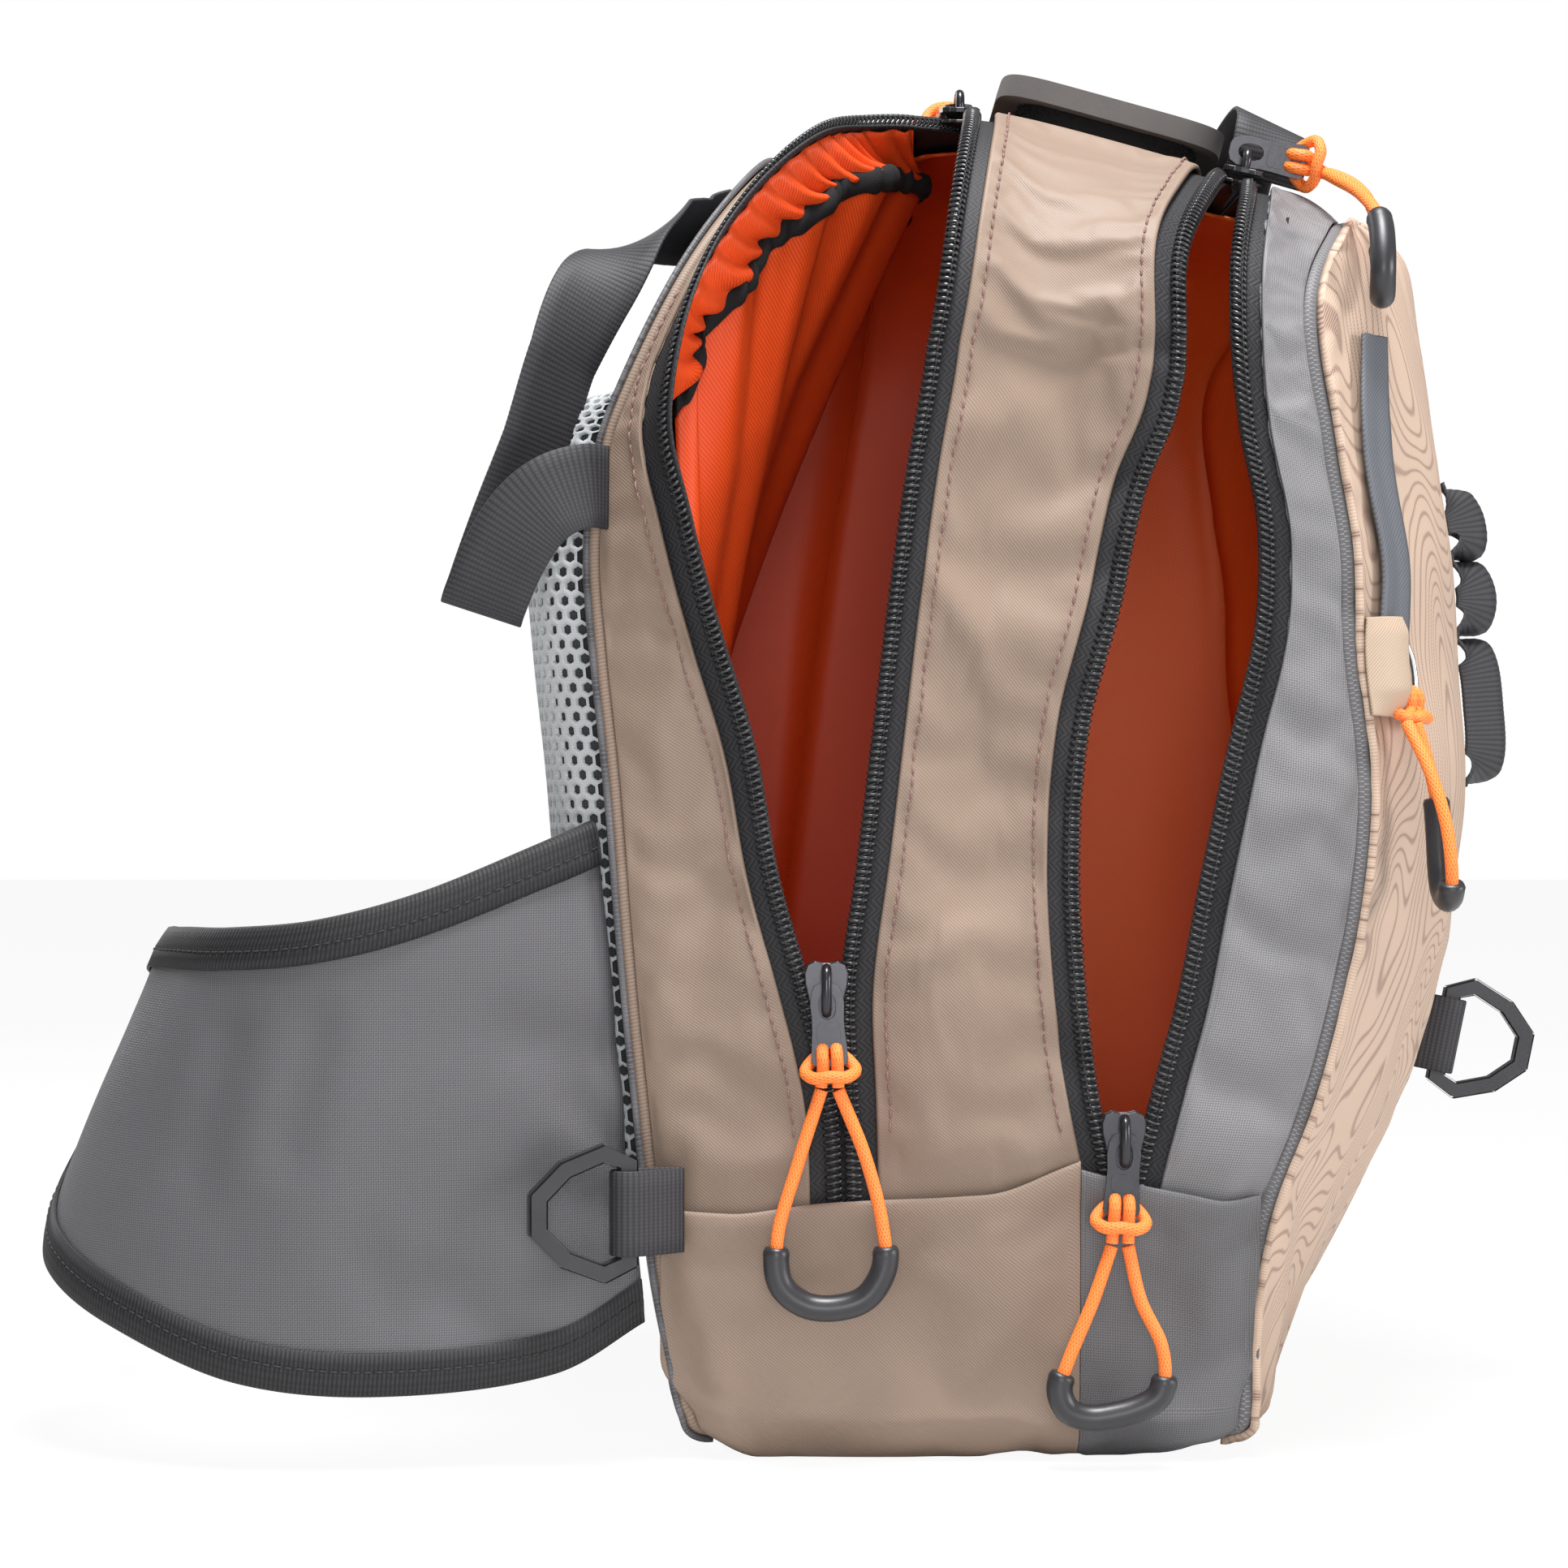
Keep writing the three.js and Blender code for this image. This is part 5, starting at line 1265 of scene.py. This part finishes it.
centre = pocketEdge(elasticShares) + np.array([0, 0, 1 - pocket["band"] / 2])
level = np.gradient(centre, axis=0)
level[:, 2] = 0
outward = np.cross(unitRows(level), (0, 0, 1))
gatherTurn = np.arange(bandSteps) * 2 * math.pi / 11 + 1.6 * np.sin(np.arange(bandSteps) * 0.21)
puff = 1.15 + 0.42 * np.sin(gatherTurn)
profileUp = np.sign(np.sin(ring)) * np.abs(np.sin(ring)) ** 0.8 * (pocket["band"] / 2)
profileOut = np.cos(ring) * 2.3
band = centre[:, None] + outward[:, None] * (profileOut[None, :] * puff[:, None])[..., None]
band[..., 2] += profileUp[None, :] * (1 + 0.12 * np.sin(gatherTurn + 0.8))[:, None]
bandCloth = ringCloth(np.arange(bandSteps) * 0.9, profileUp)
bandShape = band.reshape(-1, 3), ringFaces(bandSteps, bandSides), bandCloth
gathersPiece = shapePiece("pocket_gathers", bandShape, "elastic", ["pocket_elastic"])


# gathered strip from the elastic up to the rear lip
frill = {"turns": [(0, 2.02), (0.12, 2.3), (0.25, 2.56), (0.37, 2.8), (0.5, 3.0)], "pleats": 17,
         "depth": 1.7, "sag": 2.5, "thick": 0.7}
frillShares = np.linspace(0.5, 0.0, 240)
lipTurn = np.interp(frillShares, *np.array(frill["turns"]).T)
lipX = seamX("lipA", lipTurn, 0.0) - 3
lipEdge = skinAt(lipTurn, 0.0, lipX, outAt(lipTurn, 0.0, lipX, False) - 4.4)
lowEdge = pocketEdge(frillShares) + np.array([0, 0, -1.5])
steps = np.linspace(0, 1, 12)[:, None]
strip = lowEdge[None] + (lipEdge - lowEdge)[None] * steps[..., None]
strip[..., 2] -= frill["sag"] * np.sin(np.linspace(0, math.pi, 12))[:, None]
pleatTurn = frillShares * 2 * frill["pleats"] * 2 * math.pi + 4.5 * softNoise(lowEdge, 26, 31)
pleatDepth = frill["depth"] * (1 - 0.55 * steps) * np.sin(pleatTurn)[None, :]
strip = strip + gridNormals(strip) * pleatDepth[..., None]
frillPiece = wallPiece("pocket_frill", strip, "lining", frill["thick"], subdivide=0)
print("lining and inner pocket ready")


# zip lips: herringbone tape with a wound coil along its edge
zips = {"pitch": 2.1, "wire": 0.56, "halfAcross": 2.4, "halfHigh": 1.55, "middle": 2.9, "sink": 1.3,
        "tape": 0.8, "reaches": [16, 13, 10, 7.5, 5.5, 3.5, 1.8], "edge": 0.5, "closing": 0.9,
        "sewn": slice(6, 100), "sewnIn": 0.9, "sewnLift": 0.35}


def lipPoint(lip, side, at, far, reach, lift):
    step = rearShare(at, far, reach, shell["tapeMost"]) if lip == "lipA" else reach
    x = seamX(lip, at, far) + side * step
    return skinAt(at, far, x, outAt(at, far, x) + lift)


def coil(path, across, normal, look, points=8, sides=4):
    steps = lengthsAlong(path)
    count = int(steps[-1] / look["pitch"] * points)
    wanted = np.linspace(0, steps[-1], count)
    angle = np.arange(count) * 2 * math.pi / points
    wound = sampled(wanted, steps, path)
    wound = wound + sampled(wanted, steps, across) * (np.cos(angle) * look["halfAcross"])[:, None]
    wound += sampled(wanted, steps, normal) * (np.sin(angle) * look["halfHigh"])[:, None]
    return tube(wound, look["wire"], sides)


lips = [("main_lip_rear", "main_zip_rear", "lipA", "lipB", -1),
        ("main_lip_front", "main_zip_front", "lipB", "lipA", 1),
        ("second_lip_rear", "second_zip_rear", "lipC", "lipD", -1),
        ("second_lip_front", "second_zip_front", "lipD", "lipC", 1)]
at, far = spotOf(turns)
for name, node, lip, partner, side in lips:
    apart = np.abs(seamX(partner, at, far) - seamX(lip, at, far))
    closed = np.clip(1 - apart / 3, 0, 1)
    reaches = zips["reaches"] + [zips["edge"] - zips["closing"] * closed]
    if side > 0:
        reaches = reaches[::-1]
    grid = np.stack([lipPoint(lip, side, at, far, reach, -shell["tapeInset"]) for reach in reaches], axis=1)
    wallPiece(name + "_tape", grid, "tape", zips["tape"], [node], subdivide=0)
    edge = lipPoint(lip, side, at, far, zips["middle"], -zips["sink"])
    across = unitRows(lipPoint(lip, side, at, far, zips["middle"] + 1, -zips["sink"]) - edge)
    normal = unitRows(lipPoint(lip, side, at, far, zips["middle"], 0) - edge)
    shapePiece(name + "_coil", coil(edge, across, normal, zips), "coil")
    sewn = edge + across * zips["sewnIn"] + normal * (zips["halfHigh"] + zips["sewnLift"])
    stitchRow(name + "_sewing", sewn[zips["sewn"]], normal[zips["sewn"]], "darkThread", 1.5, 0.6, 0.3)

# topstitching beside the zips, laid on the settled cloth
topstitch = {"in": 5.4, "lift": 0.3, "rows": [
    ("rear_topstitch", "rear_side", -1, 64), ("main_topstitch_rear", "main_side", 0, 100),
    ("main_topstitch_front", "main_side", -1, 100)]}
for name, cloth, edge, count in topstitch["rows"]:
    grid = settledGrids[cloth]
    normals = gridNormals(grid)
    normals *= np.sign(np.sum(normals * np.array([0, -1.0, 0]), axis=2)[:60].mean())
    path, outward = [], []
    for row, normal in zip(grid[5:count], normals[5:count]):
        if edge < 0:
            row, normal = row[::-1], normal[::-1]
        reach = lengthsAlong(row)
        out = sampled(topstitch["in"], reach, normal)
        path.append(sampled(topstitch["in"], reach, row) + out * topstitch["lift"])
        outward.append(out)
    stitchRow(name, np.array(path), np.array(outward), "thread")
print("zips ready")


# back pad: spacer mesh with open cells over a dark bed
pad = {"from": 1.15, "to": 2.1, "near": 0.03, "farEdge": 0.97, "thick": 18, "edge": 0.2, "gap": 0.6,
       "cell": 4.9, "deep": 1.4, "tall": 263, "wide": 244, "square": 0.15}


# share of the way and rise of the pad's rounded profile, by length along it
def profileTable(size):
    turn = np.linspace(0, math.pi, 1500)
    share = 0.5 - 0.5 * np.sign(np.cos(turn)) * np.abs(np.cos(turn)) ** pad["square"]
    rise = np.sin(turn)
    step = np.hypot(np.diff(share) * size, np.diff(rise) * (pad["thick"] - pad["edge"]))
    return np.concatenate([[0], np.cumsum(step)]), share, rise


acrossTable, upTable = profileTable(pad["wide"]), profileTable(pad["tall"])
padWide, padTall = acrossTable[0][-1], upTable[0][-1]


def padSurface(across, up, flat=False):
    across, up = np.broadcast_arrays(np.clip(across, 0, padWide), np.clip(up, 0, padTall))
    share = pad["near"] + np.interp(across, acrossTable[0], acrossTable[1]) * (pad["farEdge"] - pad["near"])
    at = pad["from"] + np.interp(up, upTable[0], upTable[1]) * (pad["to"] - pad["from"])
    rise = np.interp(across, acrossTable[0], acrossTable[2]) * np.interp(up, upTable[0], upTable[2])
    place = panelAt("back", at, share, shell["backOffset"], 0, backDome)
    high = 0.1 if flat else pad["gap"] + pad["edge"] + (pad["thick"] - pad["edge"]) * rise
    place[..., 0] -= high
    return place


def padNormals(across, up):
    sideways = padSurface(across + 0.8, up) - padSurface(across - 0.8, up)
    upward = padSurface(across, up + 0.8) - padSurface(across, up - 0.8)
    return unitRows(np.cross(upward, sideways))


# closed form from a front and a back grid
def closedShell(front, back):
    rows, columns = front.shape[:2]
    points = np.concatenate([front.reshape(-1, 3), back.reshape(-1, 3)])
    faces = gridFaces(rows, columns)
    faces += [face[::-1] for face in gridFaces(rows, columns, rows * columns)]
    rim = [(0, j) for j in range(columns)] + [(i, columns - 1) for i in range(1, rows)]
    rim += [(rows - 1, j) for j in range(columns - 2, -1, -1)] + [(i, 0) for i in range(rows - 2, 0, -1)]
    loop = [i * columns + j for i, j in rim]
    shift = rows * columns
    faces += [(a, a + shift, b + shift, b) for a, b in zip(loop, loop[1:] + loop[:1])]
    return points, faces


across, up = np.meshgrid(np.linspace(0, padWide, 70), np.linspace(0, padTall, 80), indexing="ij")
front = padSurface(across, up) - padNormals(across, up) * pad["deep"]
points, faces = closedShell(front, padSurface(across, up, True))
bedCloth = np.tile(np.stack([across, up, 0 * up], axis=2).reshape(-1, 3), (2, 1))
bed = addPiece("pad_bed", points, faces, "meshBed", ["back_pad"], bedCloth)
cellColumns = int(padWide / pad["cell"])
cellRows = int(padTall / (pad["cell"] * 0.866))
angles = np.arange(6) * math.pi / 3 + math.pi / 6
hexagon = np.stack([np.cos(angles), np.sin(angles)], axis=1) / math.sqrt(3) * np.array(
    [padWide / (cellColumns + 0.5), padTall / cellRows / 0.866])
spots, lifts = [], []
for row in range(cellRows):
    for column in range(cellColumns):
        middle = np.array([(column + 0.5 + 0.5 * (row % 2)) / (cellColumns + 0.5) * padWide,
                           (row + 0.5) / cellRows * padTall])
        for scale, lift in ((1.0, 0.0), (0.66, 0.12), (0.56, -0.95 * pad["deep"])):
            spots.append(middle + hexagon * scale)
            lifts += [lift] * 6
spots = np.concatenate(spots)
meshPoints = padSurface(spots[:, 0], spots[:, 1])
meshPoints += padNormals(spots[:, 0], spots[:, 1]) * np.array(lifts)[:, None]
faces = []
for start in range(0, len(spots), 18):
    for ringStart in (start, start + 6):
        for k in range(6):
            n = (k + 1) % 6
            faces.append((ringStart + k, ringStart + n, ringStart + 6 + n, ringStart + 6 + k))
netting = addPiece("pad_mesh", meshPoints, faces, "meshFace", cloth=np.stack(
    [spots[:, 0], spots[:, 1], 0 * spots[:, 0]], axis=1))
weld = bmesh.new()
weld.from_mesh(netting.data)
bmesh.ops.remove_doubles(weld, verts=weld.verts, dist=0.00006)
bmesh.ops.recalc_face_normals(weld, faces=weld.faces)
weld.to_mesh(netting.data)
weld.free()
print("back pad ready")


# hip-belt wings, padded, bound with ribbed tape
wing = {
    "rows": [(0, -109, -123, 190, 42, -15), (0.15, -130, -132, 183, 28, -4),
             (0.38, -172, -141, 169, 23, 12), (0.57, -208, -141, 161, 27, 24),
             (0.73, -240, -127, 158, 40, 33), (0.85, -261, -103, 157, 51, 38),
             (0.93, -268, -80, 155, 62, 38), (0.98, -265, -62, 146, 80, 32), (1, -262, -55, 131, 96, 18)],
    "tipScale": 367, "farSag": 0.085, "sagX": -109,
    "half": 3.4, "edgeHalf": 1.7, "ramp": 16, "bindingReach": 12.2, "bindingLift": 0.8,
    "creases": [(-232, 88, -222, 128, 7, 1.8), (-204, 96, -196, 130, 8, 1.6), (-122, 108, -108, 92, 7, 2.4),
                (-128, 86, -112, 76, 7, 1.8), (-160, 52, -144, 38, 9, 1.8), (-138, 128, -116, 122, 8, 1.6),
                (-180, 62, -172, 44, 8, 1.2)],
}


def wingMiddle(u, v):
    u, v = np.broadcast_arrays(np.asarray(u, float), np.asarray(v, float))
    x, y, top, bottom, lean = (columnAt(wing["rows"], column, u) for column in range(1, 6))
    return np.stack([x + lean * (v - 0.5), y, bottom + (top - bottom) * v], axis=-1)


def wingOut(u, v):
    along = wingMiddle(np.minimum(u + 0.02, 1), v) - wingMiddle(np.maximum(u - 0.02, 0), v)
    return unitRows(np.cross(wingMiddle(u, 1 + 0 * v) - wingMiddle(u, 0 * v), along))


def creased(points, rows):
    depth = np.zeros(points.shape[:-1])
    for row in rows:
        t, side, long = besideCrease(points[..., 0], points[..., 2], row)
        width, deep = row[4:]
        beyond = t - np.clip(t, 0, long)
        depth += deep * np.exp(-(side / width) ** 2 - (beyond / width) ** 2)
    return depth


def turned(points, far):
    if not far:
        return points
    points = points * np.array([1, -1, 1])
    points[..., 2] += wing["farSag"] * (points[..., 0] - wing["sagX"])
    return points


def wingPiece(name, node, far):
    u = inSteps((0, 0.9, 1), (52, 18))[:, None]
    v = (0.5 - 0.5 * np.cos(np.linspace(0, math.pi, 36)))[None, :]
    u, v = np.broadcast_arrays(u, v)
    middle, out = wingMiddle(u, v), wingOut(u, v)
    height = columnAt(wing["rows"], 3, u) - columnAt(wing["rows"], 4, u)
    edge = np.minimum(np.minimum(v, 1 - v) * height, (1 - u) * wing["tipScale"])
    q = np.clip(edge / wing["ramp"], 0, 1)
    half = wing["edgeHalf"] + (wing["half"] - wing["edgeHalf"]) * np.sqrt(1 - (1 - q) ** 2)
    dent = creased(middle, wing["creases"]) * q
    front = middle + out * (half + 1.3 * softNoise(middle, 34, 9) * q - 1.5 * dent)[..., None]
    back = middle - out * (half + 0.5 * softNoise(middle, 30, 15) * q)[..., None]
    points, faces = closedShell(front, back)
    cloth = np.stack([points[:, 0], points[:, 2], np.zeros(len(points))], axis=1)
    if far:
        faces = [face[::-1] for face in faces]
    piece = addPiece(name, turned(points, far), faces, "wing", [node], cloth)
    return piece


def wingBinding(name, node, far):
    path = [(u, 1.0) for u in np.linspace(0, 1, 200)] + [(1.0, v) for v in np.linspace(1, 0, 30)[1:-1]]
    path += [(u, 0.0) for u in np.linspace(1, 0, 200)]
    path = np.array(path)
    line = wingMiddle(path[:, 0], path[:, 1])
    steps = lengthsAlong(line)
    count = int(steps[-1] / 1.3 * 2)
    wanted = np.linspace(0, steps[-1], count)
    u, v = (np.interp(wanted, steps, path[:, k]) for k in range(2))
    here, out = wingMiddle(u, v), wingOut(u, v)
    height = columnAt(wing["rows"], 3, u) - columnAt(wing["rows"], 4, u)
    reach = np.minimum(wing["bindingReach"] / height, 0.38)
    innerU = u - wing["bindingReach"] / wing["tipScale"] * np.clip((u - 0.95) / 0.05, 0, 1)
    innerV = reach + (1 - 2 * reach) * v
    smoothLine = here.copy()
    for _ in range(60):
        smoothLine[1:-1] = (smoothLine[:-2] + 2 * smoothLine[1:-1] + smoothLine[2:]) / 4
    along = np.gradient(smoothLine, axis=0)
    into = unitRows(np.cross(out, along))
    rib = np.where(np.arange(count) % 2 == 0, 0.13, -0.05)[:, None]
    lift = wing["bindingLift"]
    inner = wing["half"] + lift
    outer = wing["edgeHalf"] + lift
    inward = [(1, inner - 0.9), (1, inner), (0.62, inner - 0.1), (0.55, inner - 0.4), (0.48, inner - 0.15),
              (0.16, outer + 0.7)]
    rings = []
    for share, side in inward:
        spotU, spotV = u + (innerU - u) * share, v + (innerV - v) * share
        rings.append((wingMiddle(spotU, spotV), wingOut(spotU, spotV), side))
    for step, side in ((-0.4, outer), (-1.1, outer * 0.5), (-1.2, 0.0)):
        rings.append((here + into * step, out, side))
    upper = [middle + normal * (side + rib * (side > 0)) for middle, normal, side in rings]
    lower = [middle - normal * (side + rib * (side > 0)) for middle, normal, side in rings[-2::-1]]
    grid = np.stack(upper + lower, axis=1)
    sides = grid.shape[1]
    faces = [(i * sides + j, (i + 1) * sides + j, (i + 1) * sides + j + 1, i * sides + j + 1)
             for i in range(count - 1) for j in range(sides - 1)]
    cloth = ringCloth(wanted, np.linspace(-14, 14, sides))
    if far:
        faces = [face[::-1] for face in faces]
    piece = addPiece(name, turned(grid, far).reshape(-1, 3), faces, "bindingTape", [node], cloth)
    middle, normal, side = rings[3]
    flat = middle + normal * (side + 0.35)
    sewn = turned(flat, far)
    stitchRow(name + "_stitch", sewn, turned(flat + normal, far) - sewn, "darkThread", 2.4, 0.9, 0.3)


belt = {"x": -259, "height": 105, "end": 21, "start": 51.5, "nearTip": 112, "farTip": 99}
for side, far, flip, tip in (("near", False, -1, belt["nearTip"]), ("far", True, 1, belt["farTip"])):
    wingPiece("wing_pad_" + side, "wing_" + side, far)
    wingBinding("wing_edge_" + side, "binding_" + side, far)
    drop = belt["height"] - tip
    beltRows = [((belt["x"] - 2, flip * belt["start"], tip), (0.1, 0, 1)),
                ((belt["x"] - 0.5, flip * 42, tip + 0.3 * drop), (0, 0, 1)),
                ((belt["x"], flip * 32, tip + 0.7 * drop), (0, 0, 1)),
                ((belt["x"], flip * belt["end"], belt["height"]), (0, 0, 1))]
    webbing("belt_web_" + side, beltRows, 25, ["belt_strap_" + side])
buckleFrame = frameMatrix((0, 1, 0), (0, 0, 1), (1, 0, 0), (belt["x"] - 4, 0, belt["height"]))
socketSide = [(20.5, 11.5), (19.0, 15.4), (14.5, 17.0), (4.0, 16.0)]
socketOutline = socketSide + [(-5.0, 13.5), (-5.0, -13.5)] + [(x, -y) for x, y in socketSide[::-1]]
windows = [[(6, 15), (13, 15.4), (13, 10.5), (6, 10.5)], [(6, -10.5), (13, -10.5), (13, -15.4), (6, -15)],
           [(16.0, 10.5), (18.2, 10.5), (18.2, -10.5), (16.0, -10.5)]]
prongSide = [(-6.0, 13.0), (-8.0, 15.5), (-15, 16.8), (-19.5, 15.0), (-20.5, 11.0)]
prongOutline = prongSide + [(x, -y) for x, y in prongSide[::-1]]
prongWindow = [[(-18.2, 10.5), (-16.0, 10.5), (-16.0, -10.5), (-18.2, -10.5)]]
for name, outline, holes, nodes in (("buckle_socket", socketOutline, windows, ["belt_buckle"]),
                                    ("buckle_prongs", prongOutline, prongWindow, [])):
    plate(name, outline, holes, 8, buckleFrame, "plastic", nodes, 0.8)
print("hip belt ready")


# rings, their tabs, straps and loops of webbing
fittings = [
    {"name": "belt_ring", "at": (-105, -141, 76), "away": (-0.97, -0.24, 0), "bar": (0, 0, 1),
     "leg": -17, "shift": 3},
    {"name": "front_ring", "at": (162.5, 0, 118), "away": (0.98, 0, -0.2), "bar": (0.2, 0, 0.98),
     "leg": -12.5, "shift": 0},
]
nodeObjects = {obj.name: obj for obj in scene.objects}
for fitting in fittings:
    away, bar = unit(fitting["away"]), unit(fitting["bar"])
    place = frameMatrix(away, bar, np.cross(away, bar), fitting["at"])
    acrossBar = tuple(place.to_3x3() @ Vector((0, 1, 0)))
    leg, shift = fitting["leg"], fitting["shift"]
    middle = leg / 2
    legs = [(leg, shift - 1.1), (middle, shift * 0.4 - 3.3), (0, -4.6), (3.3, -3.3), (4.6, 0), (3.3, 3.3),
            (0, 4.6), (middle, shift * 0.4 + 3.3), (leg, shift + 1.1)]
    rows = [(spot, acrossBar) for spot in placed(place, [(x, 0, z) for x, z in legs])]
    webbing(fitting["name"] + "_loop", rows, 25, [fitting["name"] + "_tab"])
    ring = nodeObjects[fitting["name"]]
    ring.data.materials.clear()
    ring.data.materials.append(finishes["plastic"])
    fuller = ring.modifiers.new("fuller", "DISPLACE")
    fuller.strength = 0.5 * mm
    fuller.mid_level = 0
    addBevel(ring, 1.1, 3)
haulRows = [
    ((-111.5, -131.5, 290), (0, 0, 1)), ((-117, -137.5, 290), (-0.12, 0, 0.99)),
    ((-126, -141.5, 287), (-0.42, 0, 0.9)), ((-134, -142, 280.5), (-0.7, 0, 0.7)),
    ((-141.5, -140.5, 269), (-0.86, 0, 0.5)),
    ((-147.5, -136, 256), (-0.93, -0.05, 0.36)), ((-149, -130, 253), (-0.95, -0.1, 0.3)),
    ((-148, -125, 258), (-0.95, -0.15, 0.3)), ((-141, -123, 280), (-0.88, -0.4, 0.2)),
    ((-133, -122, 304), (-0.75, -0.6, 0.1)), ((-125.5, -119, 330), (-0.72, -0.6, 0)),
    ((-117.5, -112, 350), (-0.88, -0.35, 0)), ((-109, -101, 364), (-0.95, 0, -0.15)),
    ((-101, -87, 371), (-0.82, 0.1, -0.5)), ((-95, -70, 376), (-0.62, 0, -0.78)),
    ((-91, -52, 379), (-0.57, 0, -0.82)), ((-87, -40, 381), (-0.57, 0, -0.82)),
    ((-79, -31, 385), (-0.57, 0, -0.82)),  # the end is sewn in under the crown
]
webbing("haul_web", haulRows, 25, ["haul_strap"])
daisyRows = [(1.985, 2.2), (1.965, 8), (1.945, 10), (1.92, 9), (1.905, 2.2), (1.885, 9), (1.86, 11),
             (1.835, 9), (1.815, 2.2), (1.795, 9), (1.735, 11), (1.67, 9.5), (1.645, 2.2)]
daisyTwist = (-0.78, -0.63, 0)
daisyPath = []
for at, out in daisyRows:
    x, y, z = frontGrid([at], [0.5])[0, 0]
    daisyPath.append(((x + out, y, z), daisyTwist if out > 5 else (0, -1, 0)))
webbing("daisy_web", daisyPath, 20, ["daisy_chain"])
lean = (0.9, 0, -0.43)
handleHalf = [(95, -46, 396.5), (97, -49, 404), (98.5, -46, 412), (99, -36, 416.5)]
handleRows = handleHalf + [(99, 0, 418.5)] + [(x, -y, z) for x, y, z in handleHalf[::-1]]
webbing("handle_web", [(spot, lean) for spot in handleRows], 25, ["top_handle"])
print("straps ready")


# foam patch for flies on a pile base
patch = {"tilt": 0.27, "middle": (45, -4, 408.9), "slab": (76, 76, 7.2), "base": (60, 66, 7.4), "gap": 0.4,
         "tufts": 1500, "seed": 12}
patchFrame = Matrix.Translation(patch["middle"]) @ Matrix.Rotation(patch["tilt"], 4, "Y")
baseLong, baseWide, baseThick = patch["base"]
slabLong, slabWide, slabThick = patch["slab"]
plate("patch_pile", oval(baseLong, baseWide, 0, 40, 7.0), [], baseThick, patchFrame, "hookPile",
      ["fly_patch_base"], 0.6)
slabFrame = patchFrame @ Matrix.Translation((0, 0, baseThick + patch["gap"]))
slabOutline = oval(slabLong, slabWide, 0, 56, 6.0)
slab = plate("patch_foam", slabOutline, [], slabThick, slabFrame, "foam", ["fly_patch"], 2.6)
slab.modifiers["softEdges"].segments = 5
slab.data.polygons.foreach_set("use_smooth", [True] * len(slab.data.polygons))
rng = np.random.default_rng(patch["seed"])
outline = np.array(oval(baseLong, baseWide, 0, 200, 7.0))
tufts = []
for _ in range(patch["tufts"]):
    k = rng.integers(0, 200)
    spot = outline[k] + (outline[(k + 1) % 200] - outline[k]) * rng.random()
    direction = np.array([*unit(outline[k]), 0]) + rng.normal(0, 0.45, 3)
    foot = np.array([*spot, rng.random() * baseThick])
    tip = foot + unit(direction) * rng.uniform(0.7, 1.6)
    tufts.append(tube(np.array([foot, (foot + tip) / 2, tip]), np.array([0.16, 0.13, 0.05]), 3))
points, faces, cloth = joined(tufts)
addPiece("patch_fuzz", placed(patchFrame, points), faces, "hookPile", cloth=cloth)


# pocket zip on the front panel, with the tab over its lower end
pocketZip = {
    "line": [(1.64, 0.045), (1.78, 0.05), (1.86, 0.059), (1.94, 0.055), (2.05, 0.063), (2.2, 0.082),
             (2.28, 0.09)],
    "half": 0.024, "tape": 1.2, "pitch": 1.5, "halfAcross": 1.9, "halfHigh": 0.8, "wire": 0.36,
    "hoodLeft": 0.047, "hoodRight": -0.004, "hoodFrom": 1.715, "hoodTo": 1.815, "hoodLow": 1.9,
    "hoodLift": 6.6, "hoodThick": 1.3,
}


def panelBand(rows, shares, lift):
    grid = []
    for at in rows:
        middle = columnAt(pocketZip["line"], 1, at)
        grid.append(frontGrid([at], middle + np.asarray(shares))[0])
    grid = np.array(grid)
    normals = gridNormals(grid)
    outward = np.sign(np.sum(normals * np.array([1.0, -0.5, 0.0]), axis=2).mean())
    return grid + normals * outward * np.asarray(lift)[..., None], normals * outward


half = pocketZip["half"]
bandRows = np.linspace(1.74, 2.26, 100)
bandShares = np.linspace(half, -half, 9)
bandLift = 1.6 - 0.5 * np.exp(-((bandShares / (0.3 * half)) ** 2)) + 0 * bandRows[:, None]
strip, stripNormals = panelBand(bandRows, bandShares, bandLift)
wallPiece("pocket_strip", strip, "pocketTape", pocketZip["tape"], ["pocket_zip"], subdivide=0)
across = unitRows(strip[:, 0] - strip[:, -1])
teeth = coil(strip[:, 4], across, stripNormals[:, 4], pocketZip)
shapePiece("pocket_teeth", teeth, "pocketCoil")
hoodRows = np.linspace(pocketZip["hoodFrom"], pocketZip["hoodTo"], 26)
hoodShares = np.linspace(pocketZip["hoodRight"], -pocketZip["hoodLeft"], 19)
acrossHood = np.linspace(-1, 1, 19)[None, :]
upHood = np.linspace(-1, 1, 26)[:, None]
hoodOpen = (1 - ((acrossHood + 1) / 2) ** 2) * np.clip((1.2 - np.abs(upHood - 0.1)) / 0.6, 0, 1)
hoodLift = pocketZip["hoodLow"] + (pocketZip["hoodLift"] - pocketZip["hoodLow"]) * hoodOpen
hood, _ = panelBand(hoodRows, hoodShares, hoodLift)
wallPiece("pocket_hood", hood, "garage", pocketZip["hoodThick"], ["pocket_garage"])
print("front pocket ready")
